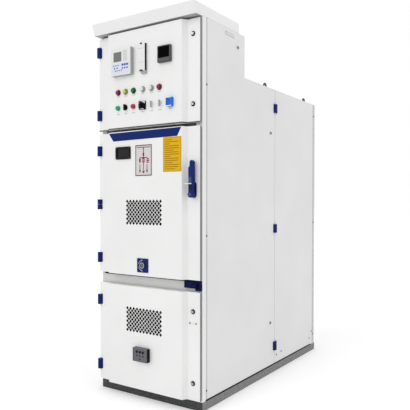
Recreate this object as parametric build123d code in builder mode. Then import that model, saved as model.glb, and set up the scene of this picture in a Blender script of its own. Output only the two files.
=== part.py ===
from build123d import *
import os
from math import hypot

# Whole panel, in millimetres: X to the right, Y to the rear, Z up, origin at the centre of the base
WIDTH = 800
DEPTH = 1520
SHEET = 2
SIDE_SHEET = 2.5
CUT_OVERRUN = 5

# Base of mitred channel
BASE_HEIGHT = 50
BASE_FLANGE = 48
BASE_WALL = 4
ANCHOR_HOLE_RADIUS = 7
ANCHOR_SIDE_INSET = 28
ANCHOR_END_INSET = 90
WEB_HOLE_RADIUS = 5
WEB_HOLE_SHARES = (-0.19, 0.0, 0.11, 0.40)

# Heights of the front, stacked from the floor plate up
SILL_GAP = 12
CABLE_DOOR_HEIGHT = 618
BAND_GAP = 68
BREAKER_DOOR_HEIGHT = 872
UPPER_GAP = 18
INSTRUMENT_DOOR_HEIGHT = 584
HEADER_GAP = 10
HEADER_DROP = 6
TROUGH_HEIGHT = 60

# Rear part, instrument compartment and trough
REAR_HEIGHT = 1980
INSTRUMENT_DEPTH = 442
TROUGH_DEPTH = 374
HEADER_TOP_REACH = 80
HEADER_FOOT_REACH = 60
SIDE_SEAM = 845
SEAM_GAP = 3

# Posts and rails of folded sheet
POST_FACE = 45
POST_DEPTH = 33
POST_FLANGE = 30
POST_ROUND = 5
POST_GROOVE = 12
RAIL_DEPTH = 30
RAIL_LAP = 25
SEAM_POST_LEG = 20
SEAM_POST_INNER_LEG = 30

# Rear covers, relief flaps and lifting lugs
COVER_DEPTH = 14
COVER_GAP = 6
COVER_EDGE = 2
COVER_SPLIT_SHARE = 0.5
FLAP_SIDE_INSET = 90
FLAP_COUNT = 3
FLAP_GAP = 40
FLAP_HEIGHT = 10
FLAP_CHAMFER = 6
LUG_THICKNESS = 8
LUG_WIDTH = 36
LUG_EYE_HEIGHT = 20
LUG_EYE_RADIUS = 10
LUG_SIDE_INSET = 34
LUG_FRONT_INSET = 325
LUG_REAR_INSET = 140

# Doors: outer strips, a bevel and a raised centre, open behind
DOOR_EDGE_GAP = 2
DOOR_BACK_STAND = 11
STRIP_STAND = 21
RAISED_STAND = 50
STRIP_WIDTH = 88
BEVEL_WIDTH = 20

# Lift-off hinges
HINGE_RADIUS = 17
HINGE_HEIGHT = 64
HINGE_SPLIT_GAP = 1
HINGE_ROUND = 3
HINGE_SETBACK = 2
HINGE_NOTCH_CLEAR = 4
HINGE_TONGUE = 16
HINGE_TONGUE_SHIFT = 5
HINGE_LEAF_LENGTH = 36
HINGE_LEAF_THICKNESS = 4
HINGE_LEAF_INSET = 3
HINGE_PIN_RADIUS = 5
HINGE_PIN_LENGTH = 24
HINGE_PIN_CLEAR = 0.08
HINGE_BORE_SPARE = 2
INSTRUMENT_HINGE_ENDS = (99, 87)
BREAKER_HINGE_ENDS = (91, 107)
CABLE_HINGE_ENDS = (94, 110)

# Punched vent of diamonds, two interleaved grids
VENT_PITCH = 26.5
VENT_COLUMNS = 11
VENT_ROWS = 6
DIAMOND_WIDTH = 21
DIAMOND_HEIGHT = 22
BREAKER_VENT_RISE = 381
CABLE_VENT_RISE = 417

# Quarter-turn locks on the right strip
LOCK_EDGE_INSET = 49
LOCK_RING_RADIUS = 14
LOCK_RING_HEIGHT = 5
LOCK_BARREL_RADIUS = 8
LOCK_BARREL_HEIGHT = 3
LOCK_BODY_LENGTH = 12
LOCK_SLOT_WIDTH = 3
LOCK_HOLE_CLEAR = 0.5
INSTRUMENT_LOCK_ENDS = (85, 106)
CABLE_LOCK_ENDS = (111, 97)

# Flush-mounted devices of the instrument door, placed from its lower edge
DEVICE_CLEAR = 0.5
RELAY_WIDTH = 163
RELAY_HEIGHT = 164
RELAY_STAND = 27
RELAY_SHARE = -0.5483
RELAY_RISE = 400
RELAY_ROUND = 4
RELAY_CASE_MARGIN = 10
RELAY_CASE_DEPTH = 120
RELAY_SCREEN_WIDTH = 66
RELAY_SCREEN_HEIGHT = 58
RELAY_SCREEN_DEPTH = 3
RELAY_SCREEN_SHIFT = -25
RELAY_SCREEN_RISE = 30
DISPLAY_WIDTH = 62
DISPLAY_HEIGHT = 162
DISPLAY_STAND = 15
DISPLAY_SHARE = -0.0172
DISPLAY_RISE = 409
DISPLAY_ROUND = 3
METER_SIZE = 96
METER_STAND = 16
METER_SHARE = 0.5862
METER_RISE = 404
METER_ROUND = 5
METER_CASE_MARGIN = 3
METER_CASE_DEPTH = 60
METER_WINDOW_MARGIN = 6
METER_WINDOW_HEIGHT = 64
METER_WINDOW_DEPTH = 2
METER_WINDOW_RISE = 10

# Lamps, buttons and switches of the instrument door
PILOT_HOLE_RADIUS = 11.3
PILOT_BODY_RADIUS = 11
PILOT_BODY_LENGTH = 38
PILOT_BEZEL_RADIUS = 15
PILOT_BEZEL_HEIGHT = 4
PILOT_BEZEL_STEP = 1
LAMP_RISE = 221
LAMP_SHARES = (-0.7, -0.4897, -0.2655, -0.0069, 0.2241, 0.4345)
LAMP_LENS_RADIUS = 14.5
LAMP_LENS_HEIGHT = 13
LAMP_LENS_ROUND = 9
SWITCH_RISE = 126
BUTTON_SHARES = (-0.7034, -0.269)
BUTTON_RADIUS = 13.5
BUTTON_HEIGHT = 9
BUTTON_ROUND = 1.5
KNOB_SHARES = (-0.4897, 0.2276, 0.4483)
KNOB_BASE_HEIGHT = 2
KNOB_LENGTH = 38
KNOB_WIDTH = 9
KNOB_HEIGHT = 15
KNOB_ROUND = 2
SELECTOR_SHARE = -0.0138
SELECTOR_PLATE = 50
SELECTOR_PLATE_HEIGHT = 7
SELECTOR_PLATE_ROUND = 4
SELECTOR_HUB_RADIUS = 19
SELECTOR_HUB_HEIGHT = 10
SELECTOR_HUB_TAPER = 8
SELECTOR_GRIP_LENGTH = 42
SELECTOR_GRIP_WIDTH = 12
SELECTOR_GRIP_HEIGHT = 16
BLOCK_WIDTH = 42
BLOCK_HEIGHT = 54
BLOCK_STAND = 20
BLOCK_SHARE = 0.7207
BLOCK_ROUND = 4
BLOCK_RIM = 6
BLOCK_POCKET_DEPTH = 4

# Viewing window and racking port of the breaker door
WINDOW_WIDTH = 124
WINDOW_HEIGHT = 76
WINDOW_STAND = 8
WINDOW_RIM = 13
WINDOW_ROUND = 8
WINDOW_CHAMFER = 3
WINDOW_SHARE = -0.5655
WINDOW_RISE = 741
PANE_LAP = 5
PANE_THICKNESS = 3
PORT_WIDTH = 87
PORT_HEIGHT = 84
PORT_STAND = 4
PORT_ROUND = 4
PORT_SHARE = -0.0172
PORT_RISE = 64
PORT_HUB_RADIUS = 22
PORT_HUB_HEIGHT = 6
PORT_SOCKET_RADIUS = 13
PORT_SOCKET_DEPTH = 8

# Long lever handle of the breaker door, turning about its lower boss
HANDLE_EDGE_INSET = 42
HANDLE_RISE = 484
HANDLE_BOSS_RADIUS = 17
HANDLE_LENGTH = 194
HANDLE_NECK_WIDTH = 26
HANDLE_TIP_WIDTH = 17
HANDLE_TIP_LENGTH = 42
HANDLE_SHOULDER = 9
HANDLE_THICKNESS = 30
HANDLE_ROUND = 3
HANDLE_CLEAR = 0.5
ESCUTCHEON_WIDTH = 36
ESCUTCHEON_LENGTH = 92
ESCUTCHEON_STAND = 9
ESCUTCHEON_ROUND = 2.5
SPINDLE_RADIUS = 7
SPINDLE_CLEAR = 0.08
SPINDLE_SPARE = 4

# Earthing-switch operator in the band and the live-line indicator
OPERATOR_WIDTH = 115
OPERATOR_SLIDE_WIDTH = 36
OPERATOR_STAND = 20
OPERATOR_TOP_GAP = 6
OPERATOR_FOOT_GAP = 20
OPERATOR_SLIDE_GAP = 8
OPERATOR_EDGE_GAP = 2
OPERATOR_ROUND = 2
OPERATOR_SLOT_WIDTH = 12
OPERATOR_SLOT_MARGIN = 12
OPERATOR_SLOT_DEPTH = 6
INDICATOR_WIDTH = 114
INDICATOR_HEIGHT = 82
INDICATOR_STAND = 26
INDICATOR_SHARE = -0.0276
INDICATOR_RISE = 217
INDICATOR_ROUND = 3
INDICATOR_FACE_MARGIN = 7
INDICATOR_FACE_DEPTH = 1.5

# Clips over the side seam
CLIP_RADIUS = 22
CLIP_HEIGHT = 60
CLIP_STAND = 16
CLIP_FOOT_END = 132
CLIP_TOP_END = 132
CLIP_MIDDLE_SHARE = 0.497

# Levels and planes that follow from the sizes above
FRONT = -DEPTH / 2
REAR = DEPTH / 2
HALF = WIDTH / 2
BODY_FOOT = BASE_HEIGHT + SHEET
CABLE_FOOT = BODY_FOOT + SILL_GAP
CABLE_TOP = CABLE_FOOT + CABLE_DOOR_HEIGHT
BREAKER_FOOT = CABLE_TOP + BAND_GAP
BREAKER_TOP = BREAKER_FOOT + BREAKER_DOOR_HEIGHT
INSTRUMENT_FOOT = BREAKER_TOP + UPPER_GAP
INSTRUMENT_TOP = INSTRUMENT_FOOT + INSTRUMENT_DOOR_HEIGHT
HEADER_FOOT = INSTRUMENT_TOP + HEADER_GAP
ROOF_TOP = HEADER_FOOT + HEADER_DROP
PANEL_TOP = ROOF_TOP + TROUGH_HEIGHT
POST_INNER = HALF - POST_FACE
PANEL_INNER = HALF - SIDE_SHEET
PARTITION_HALF = PANEL_INNER - SHEET
COVER_FRONT = REAR - COVER_DEPTH
REAR_POST_FRONT = COVER_FRONT - POST_DEPTH
SEAM = FRONT + SIDE_SEAM
INSTRUMENT_FLOOR = BREAKER_TOP + UPPER_GAP / 2
BREAKER_FLOOR = CABLE_TOP + BAND_GAP / 2
BREAKER_WALL = SEAM + SEAM_POST_LEG - 2 * SHEET
DOOR_HALF = HALF - DOOR_EDGE_GAP
RAISED_HALF = DOOR_HALF - STRIP_WIDTH - BEVEL_WIDTH
STRIP_PLANE = FRONT - STRIP_STAND
HINGE_X = -DOOR_HALF + HINGE_SETBACK
HINGE_NOTCH_EDGE = HINGE_X + HINGE_RADIUS + HINGE_NOTCH_CLEAR

os.makedirs("parts", exist_ok=True)


def facing(stand):
    """Plane parallel to the front, `stand` before the posts, drawn in X and Z and looking out."""
    return Plane.XZ.offset(stand - FRONT)


def save(piece, label):
    """Name a finished piece and write its file."""
    piece.part.label = label
    export_step(piece.part, f"parts/{label}.step")


def slab(x_low, x_high, y_low, y_high, z_low, z_high):
    """Flat sheet or plate between the given limits."""
    with BuildPart() as plate:
        with BuildSketch(Plane.XY.offset(z_low)):
            with Locations(((x_low + x_high) / 2, (y_low + y_high) / 2)):
                Rectangle(x_high - x_low, y_high - y_low)
        extrude(amount=z_high - z_low)
    return plate


def mirrored(piece):
    """The same piece on the other side of the panel."""
    with BuildPart() as other:
        mirror(piece.part, about=Plane.YZ)
    return other


# Base: one channel ring, mitred at the corners into two side and two end channels
with BuildPart() as base_ring:
    with BuildSketch():
        Rectangle(WIDTH, DEPTH)
        Rectangle(WIDTH - 2 * BASE_FLANGE, DEPTH - 2 * BASE_FLANGE, mode=Mode.SUBTRACT)
    extrude(amount=BASE_HEIGHT)
    with BuildSketch(Plane.XY.offset(BASE_WALL)):
        Rectangle(WIDTH - 2 * BASE_WALL, DEPTH - 2 * BASE_WALL)
    extrude(amount=BASE_HEIGHT - 2 * BASE_WALL, mode=Mode.SUBTRACT)
    with BuildSketch():
        with GridLocations(WIDTH - 2 * ANCHOR_SIDE_INSET, DEPTH - 2 * ANCHOR_END_INSET, 2, 2):
            Circle(ANCHOR_HOLE_RADIUS)
    extrude(amount=BASE_WALL, mode=Mode.SUBTRACT)
    with BuildSketch(facing(0)):
        with Locations(*[(share * WIDTH, BASE_HEIGHT / 2) for share in WEB_HOLE_SHARES]):
            Circle(WEB_HOLE_RADIUS)
    extrude(amount=-BASE_WALL, mode=Mode.SUBTRACT)

with BuildPart() as base_end_channels:
    add(base_ring.part)
    with BuildSketch():
        with BuildLine():
            Polyline(
                (-HALF, FRONT),
                (HALF, FRONT),
                (HALF - BASE_FLANGE, FRONT + BASE_FLANGE),
                (-HALF + BASE_FLANGE, FRONT + BASE_FLANGE),
                close=True,
            )
        make_face()
        mirror(about=Plane.XZ)
    extrude(amount=BASE_HEIGHT, mode=Mode.INTERSECT)

with BuildPart() as base_side_channels:
    add(base_ring.part)
    add(base_end_channels.part, mode=Mode.SUBTRACT)

save(base_end_channels, "base_end_channels")
save(base_side_channels, "base_side_channels")

floor_plate = slab(-HALF, HALF, FRONT, REAR, BASE_HEIGHT, BODY_FOOT)
save(floor_plate, "floor_plate")


# Posts: folded sheet with a screw flange set in behind the side panel's edge
def post(face_plane, inward, foot, top):
    """Right-hand corner post: `face_plane` is its outer face in Y and `inward` points into the panel."""
    side_end = face_plane + inward * POST_DEPTH
    with BuildPart() as section:
        with BuildSketch(Plane.XY.offset(foot)):
            with BuildLine():
                Polyline(
                    (POST_INNER, side_end),
                    (POST_INNER, face_plane),
                    (HALF, face_plane),
                    (HALF, side_end),
                    (PANEL_INNER, side_end),
                    (PANEL_INNER, side_end + inward * POST_FLANGE),
                )
                offset(amount=SHEET, side=Side.LEFT if inward > 0 else Side.RIGHT, kind=Kind.INTERSECTION)
            make_face()
        extrude(amount=top - foot)
        outer_corner = (HALF, face_plane, foot)
        fillet(section.edges().filter_by(Axis.Z).sort_by_distance(outer_corner)[0], POST_ROUND)
        inner_corner = (HALF - SHEET, face_plane + inward * SHEET, foot)
        fillet(section.edges().filter_by(Axis.Z).sort_by_distance(inner_corner)[0], POST_ROUND - SHEET)
    return section


front_right_post = post(FRONT, 1, BODY_FOOT, ROOF_TOP - SHEET)
front_left_post = mirrored(front_right_post)
save(front_right_post, "front_right_post")
save(front_left_post, "front_left_post")

rear_right_post = post(COVER_FRONT, -1, BODY_FOOT, REAR_HEIGHT - SHEET)
with BuildPart() as rear_posts:
    add(rear_right_post.part)
    mirror(rear_right_post.part, about=Plane.YZ)
save(rear_posts, "rear_posts")

# Angle posts behind the seam of the side panels, carrying the breaker compartment's back wall
with BuildPart() as seam_posts:
    with BuildSketch(Plane.XY.offset(BODY_FOOT)):
        with BuildLine():
            Polyline(
                (PANEL_INNER, SEAM - SEAM_POST_LEG),
                (PANEL_INNER, SEAM + SEAM_POST_LEG),
                (PANEL_INNER - SEAM_POST_INNER_LEG, SEAM + SEAM_POST_LEG),
            )
            offset(amount=SHEET, side=Side.LEFT, kind=Kind.INTERSECTION)
        make_face()
        mirror(about=Plane.YZ)
    extrude(amount=REAR_HEIGHT - SHEET - BODY_FOOT)
save(seam_posts, "seam_posts")


# Side panels: the front one follows the step of the roof
with BuildPart() as right_front_side_panel:
    with BuildSketch(Plane.YZ.offset(PANEL_INNER)):
        with BuildLine():
            Polyline(
                (FRONT + POST_DEPTH + POST_GROOVE, BODY_FOOT),
                (SEAM - SEAM_GAP / 2, BODY_FOOT),
                (SEAM - SEAM_GAP / 2, REAR_HEIGHT - SHEET),
                (FRONT + INSTRUMENT_DEPTH, REAR_HEIGHT - SHEET),
                (FRONT + INSTRUMENT_DEPTH, ROOF_TOP - SHEET),
                (FRONT + POST_DEPTH + POST_GROOVE, ROOF_TOP - SHEET),
                close=True,
            )
        make_face()
    extrude(amount=SIDE_SHEET)
save(right_front_side_panel, "right_front_side_panel")
save(mirrored(right_front_side_panel), "left_front_side_panel")

right_rear_side_panel = slab(
    PANEL_INNER, HALF, SEAM + SEAM_GAP / 2, REAR_POST_FRONT, BODY_FOOT, REAR_HEIGHT - SHEET
)
save(right_rear_side_panel, "right_rear_side_panel")
save(mirrored(right_rear_side_panel), "left_rear_side_panel")


# Rear covers: two shallow pans bolted to the rear posts
def rear_cover(foot, top):
    """Folded cover, open towards the panel."""
    middle = (foot + top) / 2
    with BuildPart() as cover:
        with BuildSketch(Plane.XZ.offset(-REAR)):
            with Locations((0, middle)):
                Rectangle(2 * (HALF - COVER_EDGE), top - foot)
        extrude(amount=COVER_DEPTH)
        with BuildSketch(Plane.XZ.offset(-COVER_FRONT)):
            with Locations((0, middle)):
                Rectangle(2 * (HALF - COVER_EDGE - SHEET), top - foot - 2 * SHEET)
        extrude(amount=SHEET - COVER_DEPTH, mode=Mode.SUBTRACT)
    return cover


cover_span = REAR_HEIGHT - SHEET - BODY_FOOT
cover_split = BODY_FOOT + COVER_SPLIT_SHARE * cover_span
save(rear_cover(BODY_FOOT, cover_split - COVER_GAP / 2), "rear_lower_cover")
save(rear_cover(cover_split + COVER_GAP / 2, REAR_HEIGHT - SHEET), "rear_upper_cover")

# Roofs, relief flaps and lifting lugs
rear_roof = slab(-HALF, HALF, FRONT + INSTRUMENT_DEPTH, REAR, REAR_HEIGHT - SHEET, REAR_HEIGHT)
save(rear_roof, "rear_roof")
instrument_roof = slab(-HALF, HALF, FRONT, FRONT + INSTRUMENT_DEPTH, ROOF_TOP - SHEET, ROOF_TOP)
save(instrument_roof, "instrument_roof")

roof_length = DEPTH - INSTRUMENT_DEPTH
flap_pitch = (roof_length - FLAP_GAP) / FLAP_COUNT
flap_middle = REAR - roof_length / 2
flap_width = WIDTH - 2 * FLAP_SIDE_INSET
flap_wall = FLAP_CHAMFER + SHEET
with BuildPart() as relief_flaps:
    with BuildSketch(Plane.XY.offset(REAR_HEIGHT)):
        with Locations((0, flap_middle)):
            with GridLocations(0, flap_pitch, 1, FLAP_COUNT):
                Rectangle(flap_width, flap_pitch - FLAP_GAP)
    extrude(amount=FLAP_HEIGHT)
    chamfer(relief_flaps.edges().group_by(Axis.Z)[-1], FLAP_CHAMFER)
    with BuildSketch(Plane.XY.offset(REAR_HEIGHT)):
        with Locations((0, flap_middle)):
            with GridLocations(0, flap_pitch, 1, FLAP_COUNT):
                Rectangle(flap_width - 2 * flap_wall, flap_pitch - FLAP_GAP - 2 * flap_wall)
    extrude(amount=FLAP_HEIGHT - SHEET, mode=Mode.SUBTRACT)
save(relief_flaps, "relief_flaps")

with BuildPart() as lifting_lugs:
    for lug_middle in (FRONT + INSTRUMENT_DEPTH + LUG_FRONT_INSET, REAR - LUG_REAR_INSET):
        lug_front = lug_middle - LUG_WIDTH / 2
        lug_rear = lug_middle + LUG_WIDTH / 2
        eye_level = REAR_HEIGHT + LUG_EYE_HEIGHT
        with BuildSketch(Plane.YZ.offset(HALF - LUG_SIDE_INSET)):
            with BuildLine():
                foot = Line((lug_front, REAR_HEIGHT), (lug_rear, REAR_HEIGHT))
                rise = Line(foot @ 1, (lug_rear, eye_level))
                crown_top = (lug_middle, eye_level + LUG_WIDTH / 2)
                crown = ThreePointArc(rise @ 1, crown_top, (lug_front, eye_level))
                Line(crown @ 1, foot @ 0)
            make_face()
            with Locations((lug_middle, eye_level)):
                Circle(LUG_EYE_RADIUS, mode=Mode.SUBTRACT)
        extrude(amount=-LUG_THICKNESS)
    mirror(about=Plane.YZ)
save(lifting_lugs, "lifting_lugs")

# Header board and wiring trough in one: leaning front, closed under the overhang, open to the roof
header_lean = (HEADER_TOP_REACH - HEADER_FOOT_REACH) / (PANEL_TOP - HEADER_FOOT)
with BuildPart() as header_trough:
    with BuildSketch(Plane.YZ.offset(-HALF)):
        with BuildLine():
            Polyline(
                (FRONT - HEADER_FOOT_REACH, HEADER_FOOT),
                (FRONT, HEADER_FOOT),
                (FRONT, ROOF_TOP),
                (FRONT + TROUGH_DEPTH, ROOF_TOP),
                (FRONT + TROUGH_DEPTH, PANEL_TOP),
                (FRONT - HEADER_TOP_REACH, PANEL_TOP),
                close=True,
            )
        make_face()
    extrude(amount=WIDTH)
    with BuildSketch(Plane.YZ.offset(SHEET - HALF)):
        with BuildLine():
            Polyline(
                (FRONT - HEADER_FOOT_REACH + SHEET * (1 - header_lean), HEADER_FOOT + SHEET),
                (FRONT - SHEET, HEADER_FOOT + SHEET),
                (FRONT - SHEET, ROOF_TOP + SHEET),
                (FRONT + SHEET, ROOF_TOP + SHEET),
                (FRONT + SHEET, ROOF_TOP),
                (FRONT + TROUGH_DEPTH - SHEET, ROOF_TOP),
                (FRONT + TROUGH_DEPTH - SHEET, PANEL_TOP - SHEET),
                (FRONT - HEADER_TOP_REACH + SHEET * (1 + header_lean), PANEL_TOP - SHEET),
                close=True,
            )
        make_face()
    extrude(amount=WIDTH - 2 * SHEET, mode=Mode.SUBTRACT)
save(header_trough, "header_trough")


# Rails between the posts: channels open to the rear
def rail(foot, top):
    """Cross rail of folded sheet between the two front posts."""
    with BuildPart() as channel:
        with BuildSketch(Plane.YZ.offset(-POST_INNER)):
            with BuildLine():
                Polyline(
                    (FRONT + RAIL_DEPTH, foot), (FRONT, foot), (FRONT, top), (FRONT + RAIL_DEPTH, top)
                )
                offset(amount=SHEET, side=Side.RIGHT, kind=Kind.INTERSECTION)
            make_face()
        extrude(amount=2 * POST_INNER)
    return channel


save(rail(INSTRUMENT_TOP - RAIL_LAP, ROOF_TOP - SHEET), "top_rail")
save(rail(BREAKER_TOP - RAIL_LAP, INSTRUMENT_FOOT + RAIL_LAP), "upper_rail")
save(rail(CABLE_TOP - RAIL_LAP, BREAKER_FOOT + RAIL_LAP), "band_rail")
save(rail(BODY_FOOT, CABLE_FOOT + RAIL_LAP), "sill_rail")


# Compartment floors and walls
def compartment_floor(level, back):
    """Floor that runs forward between the posts into the rail."""
    with BuildPart() as plate:
        with BuildSketch(Plane.XY.offset(level - SHEET)):
            with BuildLine():
                Polyline(
                    (-POST_INNER, FRONT + SHEET),
                    (POST_INNER, FRONT + SHEET),
                    (POST_INNER, FRONT + POST_DEPTH),
                    (PARTITION_HALF, FRONT + POST_DEPTH),
                    (PARTITION_HALF, back),
                    (-PARTITION_HALF, back),
                    (-PARTITION_HALF, FRONT + POST_DEPTH),
                    (-POST_INNER, FRONT + POST_DEPTH),
                    close=True,
                )
            make_face()
        extrude(amount=SHEET)
    return plate


instrument_wall_front = FRONT + INSTRUMENT_DEPTH - SHEET
save(compartment_floor(INSTRUMENT_FLOOR, instrument_wall_front), "instrument_floor")
save(compartment_floor(BREAKER_FLOOR, BREAKER_WALL), "breaker_floor")

instrument_back_wall = slab(
    -PANEL_INNER,
    PANEL_INNER,
    instrument_wall_front,
    FRONT + INSTRUMENT_DEPTH,
    INSTRUMENT_FLOOR - SHEET,
    ROOF_TOP - SHEET,
)
save(instrument_back_wall, "instrument_back_wall")

breaker_back_wall = slab(
    -PARTITION_HALF,
    PARTITION_HALF,
    BREAKER_WALL,
    BREAKER_WALL + SHEET,
    BREAKER_FLOOR - SHEET,
    REAR_HEIGHT - SHEET,
)
save(breaker_back_wall, "breaker_back_wall")


# Doors
raised_height = RAISED_STAND - STRIP_STAND
bevel_inset_share = (hypot(BEVEL_WIDTH, raised_height) - BEVEL_WIDTH) / raised_height


def door_outline(inset, back):
    """Plan of a door: strips, bevels and raised centre, moved in by the sheet's thickness."""
    bevel_top = RAISED_HALF - inset * bevel_inset_share
    bevel_foot = bevel_top + BEVEL_WIDTH
    edge = DOOR_HALF - inset
    strip = STRIP_PLANE + inset
    raised = FRONT - RAISED_STAND + inset
    right = [(bevel_top, raised), (bevel_foot, strip), (edge, strip), (edge, back)]
    left = [(-x, y) for x, y in reversed(right)]
    return left + right


def hinge_levels(foot, top, ends, count):
    """Middles of a door's hinges, evenly spread between the end hinges near its lower and upper edges."""
    low = foot + ends[0]
    step = (top - ends[1] - low) / (count - 1)
    return [low + step * number for number in range(count)]


def door_pan(foot, top, hinges):
    """Folded door with its ends closed, open at the back and notched for the hinges."""
    with BuildPart() as pan:
        with BuildSketch(Plane.XY.offset(foot)):
            with BuildLine():
                Polyline(*door_outline(0, FRONT - DOOR_BACK_STAND), close=True)
            make_face()
        extrude(amount=top - foot)
        with BuildSketch(Plane.XY.offset(foot + SHEET)):
            with BuildLine():
                Polyline(*door_outline(SHEET, FRONT - DOOR_BACK_STAND), close=True)
            make_face()
        extrude(amount=top - foot - 2 * SHEET, mode=Mode.SUBTRACT)
        notch_width = HINGE_NOTCH_EDGE + DOOR_HALF + CUT_OVERRUN
        notch_height = HINGE_HEIGHT + 2 * HINGE_NOTCH_CLEAR
        with BuildSketch(facing(STRIP_STAND)):
            with Locations(*[(HINGE_NOTCH_EDGE - notch_width / 2, level) for level in hinges]):
                Rectangle(notch_width, notch_height)
        extrude(amount=DOOR_BACK_STAND - STRIP_STAND, mode=Mode.SUBTRACT)
    return pan


def punch(pan, stand, *shapes):
    """Cut shapes, drawn on the front of a door, through its sheet."""
    with BuildPart() as punched:
        add(pan.part)
        with BuildSketch(facing(stand)):
            for draw, places in shapes:
                with Locations(*places):
                    draw()
        extrude(amount=-SHEET, mode=Mode.SUBTRACT)
    return punched


def diamond():
    """One vent hole, standing on its point."""
    Polygon(
        (DIAMOND_WIDTH / 2, 0), (0, DIAMOND_HEIGHT / 2), (-DIAMOND_WIDTH / 2, 0), (0, -DIAMOND_HEIGHT / 2)
    )


def vent_places(middle):
    """Middles of a vent's diamonds: a grid and a smaller one between its rows and columns."""
    places = []
    for columns, rows in ((VENT_COLUMNS, VENT_ROWS), (VENT_COLUMNS - 1, VENT_ROWS - 1)):
        for column in range(columns):
            for row in range(rows):
                across = (column - (columns - 1) / 2) * VENT_PITCH
                up = middle + (row - (rows - 1) / 2) * VENT_PITCH
                places.append((across, up))
    return places


def frame_knuckle(level):
    """Lower half of a hinge: barrel, pin and a tongue back to the post."""
    foot = level - HINGE_HEIGHT / 2
    height = (HINGE_HEIGHT - HINGE_SPLIT_GAP) / 2
    with BuildPart() as knuckle:
        with BuildSketch(Plane.XY.offset(foot)):
            with Locations((HINGE_X, STRIP_PLANE)):
                Circle(HINGE_RADIUS)
        extrude(amount=height)
        fillet(knuckle.edges().group_by(Axis.Z)[0], HINGE_ROUND)
        with BuildSketch(Plane.XY.offset(foot + HINGE_LEAF_INSET)):
            with Locations((HINGE_X + HINGE_TONGUE_SHIFT, (STRIP_PLANE + FRONT) / 2)):
                Rectangle(HINGE_TONGUE, FRONT - STRIP_PLANE)
        extrude(amount=height - HINGE_LEAF_INSET)
        with BuildSketch(Plane.XY.offset(foot + height)):
            with Locations((HINGE_X, STRIP_PLANE)):
                Circle(HINGE_PIN_RADIUS)
        extrude(amount=HINGE_PIN_LENGTH)
    return knuckle


def door_knuckle(level):
    """Upper half of a hinge: barrel with a blind bore and a leaf behind the door's strip."""
    top = level + HINGE_HEIGHT / 2
    height = (HINGE_HEIGHT - HINGE_SPLIT_GAP) / 2
    leaf_end = HINGE_NOTCH_EDGE + HINGE_LEAF_LENGTH
    with BuildPart() as knuckle:
        with BuildSketch(Plane.XY.offset(top - height)):
            with Locations((HINGE_X, STRIP_PLANE)):
                Circle(HINGE_RADIUS)
        extrude(amount=height)
        fillet(knuckle.edges().group_by(Axis.Z)[-1], HINGE_ROUND)
        with BuildSketch(Plane.XY.offset(top - height)):
            with Locations(((HINGE_X + leaf_end) / 2, STRIP_PLANE + SHEET + HINGE_LEAF_THICKNESS / 2)):
                Rectangle(leaf_end - HINGE_X, HINGE_LEAF_THICKNESS)
        extrude(amount=height - HINGE_LEAF_INSET)
        with BuildSketch(Plane.XY.offset(top - height)):
            with Locations((HINGE_X, STRIP_PLANE)):
                Circle(HINGE_PIN_RADIUS + HINGE_PIN_CLEAR)
        extrude(amount=HINGE_PIN_LENGTH - HINGE_SPLIT_GAP + HINGE_BORE_SPARE, mode=Mode.SUBTRACT)
    return knuckle


def gathered(pieces):
    """Like pieces of one body, kept as separate solids in one part."""
    with BuildPart() as group:
        for piece in pieces:
            add(piece.part)
    return group


instrument_hinges = hinge_levels(INSTRUMENT_FOOT, INSTRUMENT_TOP, INSTRUMENT_HINGE_ENDS, 2)
breaker_hinges = hinge_levels(BREAKER_FOOT, BREAKER_TOP, BREAKER_HINGE_ENDS, 3)
cable_hinges = hinge_levels(CABLE_FOOT, CABLE_TOP, CABLE_HINGE_ENDS, 2)
all_hinges = instrument_hinges + breaker_hinges + cable_hinges
save(gathered([frame_knuckle(level) for level in all_hinges]), "frame_hinge_knuckles")
save(gathered([door_knuckle(level) for level in instrument_hinges]), "instrument_door_knuckles")
save(gathered([door_knuckle(level) for level in breaker_hinges]), "breaker_door_knuckles")
save(gathered([door_knuckle(level) for level in cable_hinges]), "cable_door_knuckles")


# Locks
def lock_places(foot, top, ends):
    """Middles of a door's two locks, measured from its upper and lower edges."""
    across = DOOR_HALF - LOCK_EDGE_INSET
    return [(across, top - ends[0]), (across, foot + ends[1])]


def lock_hole():
    """Hole for one lock's body."""
    Circle(LOCK_BARREL_RADIUS + LOCK_HOLE_CLEAR)


def locks(places):
    """Quarter-turn locks: ring, slotted barrel and the body behind the sheet."""
    with BuildPart() as pair:
        with BuildSketch(facing(STRIP_STAND)):
            with Locations(*places):
                Circle(LOCK_RING_RADIUS)
        extrude(amount=LOCK_RING_HEIGHT)
        fillet(pair.edges().group_by(Axis.Y)[0], LOCK_RING_HEIGHT / 2)
        with BuildSketch(facing(STRIP_STAND)):
            with Locations(*places):
                Circle(LOCK_BARREL_RADIUS)
        extrude(amount=LOCK_RING_HEIGHT + LOCK_BARREL_HEIGHT)
        with BuildSketch(facing(STRIP_STAND)):
            with Locations(*places):
                Circle(LOCK_BARREL_RADIUS)
        extrude(amount=-LOCK_BODY_LENGTH)
        with BuildSketch(facing(STRIP_STAND + LOCK_RING_HEIGHT + LOCK_BARREL_HEIGHT)):
            with Locations(*places):
                Rectangle(LOCK_SLOT_WIDTH, 2 * LOCK_BARREL_RADIUS)
        extrude(amount=-LOCK_BARREL_HEIGHT, mode=Mode.SUBTRACT)
    return pair


instrument_locks = lock_places(INSTRUMENT_FOOT, INSTRUMENT_TOP, INSTRUMENT_LOCK_ENDS)
cable_locks = lock_places(CABLE_FOOT, CABLE_TOP, CABLE_LOCK_ENDS)
save(locks(instrument_locks), "instrument_door_locks")
save(locks(cable_locks), "cable_door_locks")

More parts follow.
